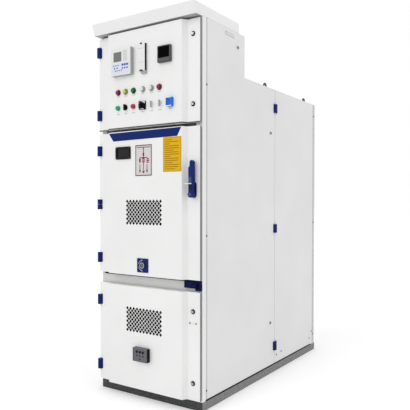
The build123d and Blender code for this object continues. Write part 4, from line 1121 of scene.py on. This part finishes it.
@step_of_the_work
class SWITCHGEAR_OT_display_module(bpy.types.Operator):
    """Clips, seams, sockets and foot of the slim display module"""

    bl_idname = "switchgear.display_module"
    bl_label = "Display Module"

    def execute(self, context):
        low, high, (across, _), plane = front_of("display_module")
        clips, seams, foot = Stock(plane), Stock(plane), Stock(DOOR_FACE)
        for size, level in ((UPPER_CLIP, high.z - CLIP_SHIFT), (LOWER_CLIP, low.z + CLIP_SHIFT)):
            clips.tile(size, (across + CLIP_SHIFT, level), corner=0.0015, high=0.003, edge=0.0008)
        clips.piece("module_clips", "instrument_door", "device_black", "black_plastic")
        for level in (high.z - UPPER_SEAM_DROP, low.z + LOWER_SEAM_RISE):
            seams.level_line(low.x + SEAM_MARGIN, high.x - SEAM_MARGIN, level, width=0.0012, high=0.0003)
        for number in range(3):
            level = low.z + SOCKET_PLACE[1] + SOCKET_PITCH * number
            seams.turned((across + SOCKET_PLACE[0], level), SOCKET, steps=10)
        seams.piece("module_seams", "instrument_door", "device_grey", "grey_plastic")
        place = (across + MODULE_FOOT_SHIFT[0], low.z + MODULE_FOOT_SHIFT[1])
        foot.tile(MODULE_FOOT, place, corner=0.002, high=MODULE_FOOT_STAND, edge=0.0012)
        foot.piece("module_foot", "instrument_door", "device_grey", "grey_plastic")
        return {"FINISHED"}


METER_SCREEN = (0.0835, 0.0635)
METER_SCREEN_RISE = 0.01
METER_KEYS = (-1.5, -0.5, 0.5, 1.5)
METER_KEY = (0.014, 0.008)
METER_KEY_PITCH = 0.019
METER_KEY_RISE = 0.013


@step_of_the_work
class SWITCHGEAR_OT_meter(bpy.types.Operator):
    """Screen and key row of the square meter"""

    bl_idname = "switchgear.meter"
    bl_label = "Meter Face"

    def execute(self, context):
        low, _, (across, up), plane = front_of("panel_meter")
        screen, keys = Stock(plane), Stock(plane)
        place = (across, up + METER_SCREEN_RISE)
        screen.tile(METER_SCREEN, place, corner=0.001, high=-0.0004, low=-0.0018, edge=0.0002, steps=2)
        screen.piece("meter_screen", "instrument_door", "device_black", "meter_glass")
        for number in METER_KEYS:
            place = (across + number * METER_KEY_PITCH, low.z + METER_KEY_RISE)
            keys.tile(METER_KEY, place, corner=0.0025, high=0.0016, edge=0.0005)
        keys.piece("meter_keys", "instrument_door", "device_grey", "indicator_plastic")
        return {"FINISHED"}


LAMP_COLLAR = ((0.0185, 0.0), (0.0185, 0.003), (0.0155, 0.0044))


@step_of_the_work
class SWITCHGEAR_OT_lamp_collars(bpy.types.Operator):
    """Coloured collars round the lamps, in the darker flank copies of the lens colours, a painted shade"""

    bl_idname = "switchgear.lamp_collars"
    bl_label = "Lamp Collars"

    def execute(self, context):
        _, _, (_, level), _ = front_of("indicator_lamps")
        collars = Stock(DOOR_FACE)
        for across, colour in zip(middles("indicator_lamps", len(LAMP_COLOURS)), LAMP_COLOURS):
            collars.turned((across, level), LAMP_COLLAR, LENS_COLOURS.index(colour))
        # The collars take the darker flank copies: painted shade
        shades = [f"flank_{colour}" for colour in LENS_COLOURS]
        collars.piece("lamp_collars", "instrument_door", "lamp_lens", *shades)
        return {"FINISHED"}


LAMP_LEGEND_DROP = 0.01
SWITCH_LEGEND_DROP = 0.012
LEGEND_STAND = 0.0008
LEGEND_LINE_SHARE = 0.36
LEGEND_LINE_WIDTH = 0.0022


@step_of_the_work
class SWITCHGEAR_OT_legends(bpy.types.Operator):
    """Bare legend strips under the lamps and switches"""

    bl_idname = "switchgear.legends"
    bl_label = "Legend Strips"

    def execute(self, context):
        sizes = context.scene.panel_fittings
        lamp_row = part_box("indicator_lamps")[0].z - LAMP_LEGEND_DROP
        switch_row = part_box("selector_switches")[0].z - SWITCH_LEGEND_DROP
        places = [(x, lamp_row) for x in middles("indicator_lamps", len(LAMP_COLOURS))]
        for node, count in (("push_buttons", 2), ("selector_switches", 4), ("test_block", 1)):
            places += [(x, switch_row) for x in middles(node, count)]
        size = (sizes.legend_width, sizes.legend_height)
        half = sizes.legend_width * LEGEND_LINE_SHARE
        low, high = LEGEND_STAND - TINY, LEGEND_STAND + sizes.print_height
        strips = Stock(DOOR_FACE)
        for x, level in places:
            strips.tile(size, (x, level), corner=0.001, high=LEGEND_STAND, edge=EASE, steps=2)
            strips.level_line(x - half, x + half, level, LEGEND_LINE_WIDTH, high, low, finish_number=1)
        strips.piece("legend_strips", "instrument_door", "device_white", "white_plastic", "grey_plastic")
        return {"FINISHED"}


POINTER = (0.004, 0.016)
POINTER_WIDTH = 0.0025
DIAL_STAND = 0.0004
DIAL_TICK = (0.0166, 0.0195)
DIAL_LINE = (0.012, -0.021)
DIAL_LINE_WIDTH = 0.006
# Radius of the selector's hub, the degrees of it that the pale field follows, and the field's far corner
SELECTOR_HUB = 0.0195
FIELD_DEGREES = (98, 35)
FIELD_CORNER = (0.0225, 0.0243)
PLUG_STEPS_ACROSS = (-0.0095, 0.0, 0.0095)
PLUG_STEPS_UP = (-0.0135, 0.0, 0.0135)
PLUG = ((0.0038, -0.0041), (0.0038, -0.0005), (0.0028, 0.0))
TEST_LABEL = (0.041, 0.0058)


@step_of_the_work
class SWITCHGEAR_OT_switch_marks(bpy.types.Operator):
    """Pointer and dial of the selector, plugs and labels of the test block"""

    bl_idname = "switchgear.switch_marks"
    bl_label = "Switch Marks"

    def execute(self, context):
        _, _, (_, up), plane = front_of("selector_switches")
        across = middles("selector_switches", 4)[1]
        mark, dial = Stock(plane), Stock(front_face(DOOR_Y - SELECTOR_PLATE))
        pointer = [(across, up + reach) for reach in POINTER]
        mark.line(pointer, POINTER_WIDTH, context.scene.panel_fittings.print_height)
        mark.piece("selector_mark", "instrument_door", "device_white", "white_plastic")
        tick = [(across - reach, up + reach) for reach in DIAL_TICK]
        dial.line(tick, width=0.002, high=DIAL_STAND)
        half, level = DIAL_LINE[0], up + DIAL_LINE[1]
        dial.level_line(across - half, across + half, level, DIAL_LINE_WIDTH, DIAL_STAND)
        field = arc((across, up), SELECTOR_HUB, *FIELD_DEGREES)
        right, top = across + FIELD_CORNER[0], up + FIELD_CORNER[1]
        field += [(right, field[-1][1]), (right, top), (field[0][0], top)]
        dial.plate(field, DIAL_STAND)
        dial.piece("selector_scale", "instrument_door", "device_white", "white_plastic")
        low, high, (across, up), plane = front_of("test_block")
        plugs, label = Stock(plane), Stock(plane)
        for x in PLUG_STEPS_ACROSS:
            for z in PLUG_STEPS_UP:
                plugs.turned((across + x, up + z), PLUG, steps=20)
        plugs.piece("test_block_plugs", "instrument_door", "block_blue", "block_plastic")
        for level in (low.z + TEST_LABEL[1] / 2, high.z - TEST_LABEL[1] / 2):
            label.tile(TEST_LABEL, (across, level), corner=0.001, high=0.0006, edge=0.0002, steps=2)
        label.piece("test_block_label", "instrument_door", "device_white", "white_plastic")
        return {"FINISHED"}


# Fittings of the breaker door: corners of the banner, and left, right, foot and top of the plates
BANNER = ((-0.247, 1.566), (0.257, 1.569), (0.287, 1.618), (-0.286, 1.616))
RULED_PLATE = (0.154, 0.288, 1.367, 1.566)
LINE_DIAGRAM = (-0.063, 0.067, 1.348, 1.533)
PLATE_CORNER = 0.003
PLATE_EASE = 0.0005


@step_of_the_work
class SWITCHGEAR_OT_banner(bpy.types.Operator):
    """Bare banner across the head of the breaker door"""

    bl_idname = "switchgear.banner"
    bl_label = "Banner"

    def execute(self, context):
        banner = Stock(DOOR_FACE)
        banner.plate(BANNER, context.scene.panel_fittings.plate_height, edge=0.0006)
        banner.piece("breaker_banner", "breaker_door", "handle_blue", "banner_blue")
        return {"FINISHED"}


RULING_SHARES = (0.5, 0.9, 0.35, 0.92, 0.94, 0.6, 0.9, 0.95, 0.4, 0.93, 0.88, 0.55, 0.94, 0.9, 0.7)
RULING_MARGIN = 0.01
RULING_DROP = 0.012
RULING_WIDTH = 0.0045
RULED_BORDER = 0.002


@step_of_the_work
class SWITCHGEAR_OT_ruled_plate(bpy.types.Operator):
    """Yellow plate with plain ruled lines"""

    bl_idname = "switchgear.ruled_plate"
    bl_label = "Ruled Plate"

    def execute(self, context):
        sizes = context.scene.panel_fittings
        left, right, foot, top = RULED_PLATE
        middle = ((left + right) / 2, (foot + top) / 2)
        low, high = sizes.plate_height - TINY, sizes.plate_height + sizes.print_height
        width, height = right - left, top - foot
        plate = Stock(DOOR_FACE)
        plate.tile((width, height), middle, PLATE_CORNER, sizes.plate_height, edge=PLATE_EASE, steps=5)
        start = left + RULING_MARGIN
        pitch = (height - 2 * RULING_MARGIN) / len(RULING_SHARES)
        for number, share in enumerate(RULING_SHARES):
            level = top - RULING_DROP - pitch * (number + 0.3)
            end = start + (width - 2 * RULING_MARGIN) * share
            plate.level_line(start, end, level, RULING_WIDTH, high, low, finish_number=1)
        outline = rounded(width - 2 * RULED_BORDER, height - 2 * RULED_BORDER, RULED_BORDER, middle)
        plate.ring(outline, inset(outline, RULED_BORDER), high, low, finish_number=1)
        plate.piece("breaker_ruled_plate", "breaker_door", "device_white", "ruled_yellow", "ruled_lines")
        return {"FINISHED"}


# Numbers of the diagram's finishes, its lines as finish, width and two ends from the middle of its top,
# and the branch that both sides have
FRAME_GREY, LINE_BLACK, LINE_RED = 1, 2, 3
DIAGRAM_STEM = (
    (LINE_BLACK, 0.004, (-0.053, -0.015), (0.053, -0.015)),
    (LINE_BLACK, 0.0052, (0.0, -0.015), (0.0, -0.06)),
    (LINE_RED, 0.0052, (0.0, -0.06), (0.0, -0.169)),
)
DIAGRAM_BRANCH = (
    (LINE_RED, 0.0052, (-0.007, -0.05), (0.007, -0.064)),
    (LINE_RED, 0.0052, (0.009, -0.155), (0.0, -0.169)),
    (LINE_RED, 0.0052, (0.0, -0.076), (0.028, -0.076)),
    (LINE_RED, 0.0052, (0.028, -0.076), (0.028, -0.11)),
    (LINE_BLACK, 0.0052, (0.028, -0.118), (0.028, -0.153)),
    (LINE_BLACK, 0.004, (0.02, -0.153), (0.036, -0.153)),
    (LINE_BLACK, 0.004, (0.0225, -0.1585), (0.0335, -0.1585)),
    (LINE_BLACK, 0.004, (0.025, -0.164), (0.031, -0.164)),
)
DIAGRAM_BOXES = (((0.02, 0.026), (0.0, -0.092)), ((0.013, 0.02), (-0.028, -0.092)))
DIAGRAM_RINGS = ((0.036, -0.088), (0.036, -0.1))
DIAGRAM_RING_RADIUS = 0.009
DIAGRAM_SHAPE_WIDTH = 0.0042
DIAGRAM_FRAME = (0.0005, 0.006)
DIAGRAM_FRAME_STAND = 0.0006


@step_of_the_work
class SWITCHGEAR_OT_line_diagram(bpy.types.Operator):
    """Pale plate with a plain single-line diagram"""

    bl_idname = "switchgear.line_diagram"
    bl_label = "Line Diagram"

    def execute(self, context):
        sizes = context.scene.panel_fittings
        left, right, foot, top = LINE_DIAGRAM
        centre, base = (left + right) / 2, sizes.plate_height
        low, high = base - TINY, base + sizes.print_height
        plate = Stock(DOOR_FACE)
        outline = rounded(right - left, top - foot, PLATE_CORNER, (centre, (foot + top) / 2))
        plate.plate(outline, base, edge=PLATE_EASE)
        outer, inner = (inset(outline, amount) for amount in DIAGRAM_FRAME)
        plate.ring(outer, inner, base + DIAGRAM_FRAME_STAND, low, edge=0.0002, finish_number=FRAME_GREY)
        for sign, lines in ((1, DIAGRAM_STEM), (-1, DIAGRAM_BRANCH), (1, DIAGRAM_BRANCH)):
            for colour, width, *ends in lines:
                points = [(centre + sign * x, top + z) for x, z in ends]
                plate.line(points, width, high, low, colour)
        shapes = [
            rounded(*size, radius=0.0006, middle=(centre + x, top + z), steps=2)
            for size, (x, z) in DIAGRAM_BOXES
        ]
        for x, z in DIAGRAM_RINGS:
            shapes.append(circle(DIAGRAM_RING_RADIUS, (centre + x, top + z), steps=24))
        for shape in shapes:
            plate.ring(shape, inset(shape, DIAGRAM_SHAPE_WIDTH), high, low, finish_number=LINE_RED)
        finishes = ("diagram_plate", "graphite_plastic", "diagram_black", "diagram_red")
        plate.piece("breaker_line_diagram", "breaker_door", "device_white", *finishes)
        return {"FINISHED"}


SCREEN_SIZE = (0.322, 0.19)
SCREEN_FRAME_WIDTH = 0.01
SCREEN_FRAME_STAND = 0.0022
SCREEN_SCREW_RADIUS = 0.0035


@step_of_the_work
class SWITCHGEAR_OT_vent_screens(bpy.types.Operator):
    """Dust screens on the back of the punched vents, near-black as painted shade behind the holes"""

    bl_idname = "switchgear.vent_screens"
    bl_label = "Vent Screens"

    def execute(self, context):
        plane = face((-1, 0, 0), (0, 0, 1), (0, 1, 0), (0, DOOR_Y + DOOR_SHEET, 0))
        half_width, half_height = (size / 2 - SCREEN_FRAME_WIDTH / 2 for size in SCREEN_SIZE)
        finishes = ("screen_mesh", "zinc_sheet", "bright_steel")
        for door, level in VENT_LEVELS.items():
            screen = Stock(plane)
            outline = rounded(*SCREEN_SIZE, radius=0.004, middle=(0, level), steps=3)
            inner = inset(outline, SCREEN_FRAME_WIDTH)
            screen.plate(outline, high=0.0008, low=TINY)
            screen.ring(outline, inner, SCREEN_FRAME_STAND, low=0.0006, edge=0.0005, finish_number=1)
            for across in (-half_width, 0.0, half_width):
                for up in (-half_height, half_height):
                    place = (across, level + up)
                    screen.screw(place, SCREEN_SCREW_RADIUS, SCREEN_FRAME_STAND - TINY / 2, finish_number=2)
            screen.piece(f"{door}_vent_screen", door, "device_black", *finishes)
        return {"FINISHED"}


PORT_PLATE = 0.004
PORT_ARROW_RADIUS = 0.031
PORT_ARROW_WIDTH = 0.004
PORT_ARROW_HEAD = (0.011, 0.0065)
# Each arrow from its tip to its tail in degrees, and which way its tip points round the port
PORT_ARROWS = ((105, 165, 1), (255, 195, -1))
PORT_RING = (0.0185, 0.0135)
PORT_SHUTTER = ((0.0128, -0.0042), (0.0128, -0.0026), (0.0118, -0.0018), (0.003, -0.0018))


@step_of_the_work
class SWITCHGEAR_OT_port_marks(bpy.types.Operator):
    """Turning arrows, ring and shutter of the racking port"""

    bl_idname = "switchgear.port_marks"
    bl_label = "Port Marks"

    def execute(self, context):
        stand = context.scene.panel_fittings.print_height
        _, _, middle, plane = front_of("racking_port")
        marks, ring, shutter = Stock(front_face(DOOR_Y - PORT_PLATE)), Stock(plane), Stock(plane)
        for tip, tail, way in PORT_ARROWS:
            marks.line(arc(middle, PORT_ARROW_RADIUS, tip, tail), PORT_ARROW_WIDTH, stand)
            turn = math.radians(tip)
            side = Vector((math.cos(turn), math.sin(turn)))
            along = Vector((side.y, -side.x)) * way
            point = Vector(middle) + PORT_ARROW_RADIUS * side
            reach, half = PORT_ARROW_HEAD
            head = [point + along * reach, point + side * half * way, point - side * half * way]
            marks.plate([tuple(corner) for corner in head], stand)
        marks.piece("racking_port_marks", "breaker_door", "device_grey", "grey_plastic")
        outer, inner = (circle(radius, middle) for radius in PORT_RING)
        ring.ring(outer, inner, high=0.001, edge=0.0004)
        ring.piece("racking_port_ring", "breaker_door", "device_grey", "grey_plastic")
        shutter.turned(middle, PORT_SHUTTER)
        shutter.piece("racking_port_shutter", "breaker_door", "device_grey", "indicator_plastic")
        return {"FINISHED"}


WINDOW_SCREW_MARGIN = 0.0075
WINDOW_SCREW_RADIUS = 0.0032


@step_of_the_work
class SWITCHGEAR_OT_window_screws(bpy.types.Operator):
    """Screws in the frame of the viewing window"""

    bl_idname = "switchgear.window_screws"
    bl_label = "Window Screws"

    def execute(self, context):
        low, high, _, plane = front_of("viewing_window")
        screws = Stock(plane)
        for across in (low.x + WINDOW_SCREW_MARGIN, high.x - WINDOW_SCREW_MARGIN):
            for up in (low.z + WINDOW_SCREW_MARGIN, high.z - WINDOW_SCREW_MARGIN):
                screws.screw((across, up), WINDOW_SCREW_RADIUS, -TINY)
        screws.piece("viewing_window_screws", "breaker_door", "device_dark_grey", "graphite_plastic")
        return {"FINISHED"}


# Places on the handle, from its pivot
HANDLE_PIVOT = 0.017
HANDLE_CAP = ((0.0095, -TINY), (0.0095, 0.0012), (0.008, 0.002), (0.006, 0.0016))
HANDLE_CAP_SLOT = 0.005
GRIP_LINES = 4
GRIP_RISE = 0.026
GRIP_PITCH = 0.009
GRIP_REACH = 0.0105
GRIP_WIDTH = 0.0065
HANDLE_TAB = (0.051, 0.005)
HANDLE_TAB_PLACE = (-0.0145, 0.062)
HANDLE_BUTTON = (0.021, 0.032)
HANDLE_BUTTON_RISE = 0.082


@step_of_the_work
class SWITCHGEAR_OT_handle_fittings(bpy.types.Operator):
    """Boss cap, grip lines, pale tab and button of the lever handle"""

    bl_idname = "switchgear.handle_fittings"
    bl_label = "Handle Fittings"

    def execute(self, context):
        low, _, _, plane = front_of("door_handle")
        x, z = low.x + HANDLE_PIVOT, low.z + HANDLE_PIVOT
        cap, grip, tab, button = (Stock(plane) for _ in range(4))
        cap.turned((x, z), HANDLE_CAP)
        cap.level_line(x - HANDLE_CAP_SLOT, x + HANDLE_CAP_SLOT, z, width=0.002, high=0.0019, low=0.0012)
        cap.piece("handle_boss_cap", "breaker_handle", "handle_blue", "slate_plastic")
        for number in range(GRIP_LINES):
            level = z + GRIP_RISE + GRIP_PITCH * number
            grip.level_line(x - GRIP_REACH, x + GRIP_REACH, level, GRIP_WIDTH, high=0.0007)
        grip.piece("handle_grip_lines", "breaker_handle", "device_black", "black_plastic")
        place = (x + HANDLE_TAB_PLACE[0], z + HANDLE_TAB_PLACE[1])
        tab.tile(HANDLE_TAB, place, corner=0.001, high=0.0026, low=-0.003, edge=0.0006)
        tab.piece("handle_tab", "breaker_handle", "device_white", "white_plastic")
        button.tile(HANDLE_BUTTON, (x, z + HANDLE_BUTTON_RISE), corner=0.002, high=0.0016, edge=0.0005)
        button.piece("handle_button", "breaker_handle", "handle_blue", "slate_plastic")
        return {"FINISHED"}


# Fittings of the cable door
INDICATOR_RECESS = 0.0015
INDICATOR_PITCH = 0.024
# Rise over the middle, columns, profile and roundness of each row of the indicator's lamps
INDICATOR_ROWS = (
    (0.018, (-1, 0, 1), ((0.0085, -TINY), (0.0085, 0.002), (0.006, 0.0035)), 24),
    (-0.005, (-1, 0, 1), ((0.005, -TINY), (0.005, 0.001), (0.0035, 0.0018)), 16),
    (-0.024, (0,), ((0.0045, -TINY), (0.0045, 0.001), (0.003, 0.0018)), 16),
)


@step_of_the_work
class SWITCHGEAR_OT_indicator_face(bpy.types.Operator):
    """Lamps of the live-line indicator"""

    bl_idname = "switchgear.indicator_face"
    bl_label = "Live Indicator Face"

    def execute(self, context):
        low, _, (across, up), _ = front_of("live_indicator")
        lamps = Stock(front_face(low.y + INDICATOR_RECESS))
        for rise, columns, profile, steps in INDICATOR_ROWS:
            for column in columns:
                lamps.turned((across + column * INDICATOR_PITCH, up + rise), profile, steps=steps)
        lamps.piece("live_indicator_lamps", "cable_door", "device_black", "black_plastic")
        return {"FINISHED"}


LOCK_PLATE = (0.056, 0.016)
LOCK_PLATE_LEVEL = 0.504
RIVET_REACH = 0.022
RIVET = ((0.0045, 0.0008), (0.0045, 0.0014), (0.003, 0.0028))


@step_of_the_work
class SWITCHGEAR_OT_lock_plate(bpy.types.Operator):
    """Small riveted plate under the upper lock of the cable door"""

    bl_idname = "switchgear.lock_plate"
    bl_label = "Lock Plate"

    def execute(self, context):
        _, _, (across, _), _ = front_of("cable_door_locks")
        plate, rivets = Stock(STRIP_FACE), Stock(STRIP_FACE)
        plate.tile(LOCK_PLATE, (across, LOCK_PLATE_LEVEL), corner=0.003, high=0.001, edge=0.0004, steps=4)
        plate.piece("lock_plate", "cable_door", "device_white", "white_plastic")
        for reach in (-RIVET_REACH, RIVET_REACH):
            rivets.turned((across + reach, LOCK_PLATE_LEVEL), RIVET, steps=16)
        rivets.piece("lock_plate_rivets", "cable_door", "device_black", "black_plastic")
        return {"FINISHED"}


# Studio: each light's name, the side that it comes from, its strength and its spread in degrees
SUNS = (
    ("key_light", (-0.35, -0.8, 0.55), 0.72, 50.0),
    ("fill_light", (0.9, 0.05, 0.45), 0.35, 60.0),
    ("top_light", (0.1, 0.1, 1.0), 0.6, 70.0),
)
SENSOR_WIDTH = 36.0
FLOOR_REACH = 40.0
FLOOR_CORNERS = ((-1, -1), (1, -1), (1, 1), (-1, 1))


def show_directly(tree, otherwise, shown, output):
    """Show one shader to the camera, in gloss and through glass, and light the rest with another."""
    path = tree.nodes.new("ShaderNodeLightPath")
    direct = path.outputs["Is Camera Ray"]
    for kind in ("Is Glossy Ray", "Is Transmission Ray"):
        either = tree.nodes.new("ShaderNodeMath")
        either.operation = "MAXIMUM"
        tree.links.new(direct, either.inputs[0])
        tree.links.new(path.outputs[kind], either.inputs[1])
        direct = either.outputs[0]
    mix = tree.nodes.new("ShaderNodeMixShader")
    tree.links.new(direct, mix.inputs[0])
    tree.links.new(otherwise, mix.inputs[1])
    tree.links.new(shown, mix.inputs[2])
    tree.links.new(mix.outputs[0], output.inputs["Surface"])


def make_floor(scene, settings):
    """Wide plain floor, lifted to white where it is seen directly, with the shadow left on it."""
    material, shader = new_shader("studio_floor", settings.floor_tint, roughness=0.9, shine=0.1)
    tree = material.node_tree
    output = tree.nodes["Material Output"]
    lift = tree.nodes.new("ShaderNodeEmission")
    lift.inputs["Strength"].default_value = settings.floor_lift
    lifted = tree.nodes.new("ShaderNodeAddShader")
    tree.links.new(shader.outputs[0], lifted.inputs[0])
    tree.links.new(lift.outputs[0], lifted.inputs[1])
    show_directly(tree, shader.outputs[0], lifted.outputs[0], output)
    data = bpy.data.meshes.new("studio_floor")
    corners = [(x * FLOOR_REACH, y * FLOOR_REACH, 0.0) for x, y in FLOOR_CORNERS]
    data.from_pydata(corners, [], [range(len(corners))])
    data.materials.append(material)
    floor = bpy.data.objects.new("studio_floor", data)
    scene.collection.objects.link(floor)


def make_world(scene, settings):
    """Even light from all round, and plain white where it is seen directly."""
    world = bpy.data.worlds.new("studio")
    scene.world = world
    world.use_nodes = True
    tree = world.node_tree
    tree.nodes.clear()
    output = tree.nodes.new("ShaderNodeOutputWorld")
    even, plain = (tree.nodes.new("ShaderNodeBackground") for _ in range(2))
    for background, strength in ((even, settings.sky), (plain, 1.0)):
        background.inputs["Color"].default_value = (1.0, 1.0, 1.0, 1.0)
        background.inputs["Strength"].default_value = strength
    show_directly(tree, even.outputs[0], plain.outputs[0], output)


@step_of_the_work
class SWITCHGEAR_OT_studio(bpy.types.Operator):
    """Pale floor, even light and the camera"""

    bl_idname = "switchgear.studio"
    bl_label = "Studio"

    def execute(self, context):
        scene = context.scene
        settings = scene.panel_studio
        scene.view_settings.view_transform = "Standard"
        make_floor(scene, settings)
        make_world(scene, settings)
        for name, toward, strength, spread in SUNS:
            light = bpy.data.lights.new(name, "SUN")
            light.energy = strength
            light.angle = math.radians(spread)
            lamp = bpy.data.objects.new(name, light)
            lamp.rotation_euler = Vector(toward).to_track_quat("Z", "Y").to_euler()
            scene.collection.objects.link(lamp)
        data = bpy.data.cameras.new("camera")
        data.lens = settings.lens
        data.sensor_width = SENSOR_WIDTH
        data.shift_x, data.shift_y = settings.shift_x, settings.shift_y
        camera = bpy.data.objects.new("camera", data)
        camera.matrix_world = (
            Matrix.Translation(settings.camera_place)
            @ Matrix.Rotation(settings.camera_turn, 4, "Z")
            @ Matrix.Rotation(math.pi / 2 + settings.camera_tilt, 4, "X")
            @ Matrix.Rotation(settings.camera_roll, 4, "Z")
        )
        scene.collection.objects.link(camera)
        scene.camera = camera
        return {"FINISHED"}


class SWITCHGEAR_PT_sidebar(bpy.types.Panel):
    """Sidebar with the panel's settings and steps"""

    bl_idname = "SWITCHGEAR_PT_sidebar"
    bl_label = "Switchgear Panel"
    bl_space_type = "VIEW_3D"
    bl_region_type = "UI"
    bl_category = "Switchgear"

    def draw(self, context):
        layout = self.layout
        for step in STEPS:
            layout.operator(step.bl_idname)
        for name, group in GROUPS:
            box = layout.box()
            for setting in group.__annotations__:
                box.prop(getattr(context.scene, name), setting)


GROUPS = (
    ("panel_tints", PanelTints),
    ("panel_fittings", FittingSizes),
    ("panel_studio", StudioSettings),
)


def register():
    """Make the settings, steps and sidebar known to Blender."""
    for name, group in GROUPS:
        bpy.utils.register_class(group)
        setattr(bpy.types.Scene, name, PointerProperty(type=group))
    for step in STEPS:
        bpy.utils.register_class(step)
    bpy.utils.register_class(SWITCHGEAR_PT_sidebar)


def unregister():
    """Take the settings, steps and sidebar away again."""
    bpy.utils.unregister_class(SWITCHGEAR_PT_sidebar)
    for step in reversed(STEPS):
        bpy.utils.unregister_class(step)
    for name, group in reversed(GROUPS):
        delattr(bpy.types.Scene, name)
        bpy.utils.unregister_class(group)


def main():
    """Dress the panel."""
    register()
    for step in STEPS:
        group, name = step.bl_idname.split(".")
        getattr(getattr(bpy.ops, group), name)()


if __name__ == "__main__":
    main()
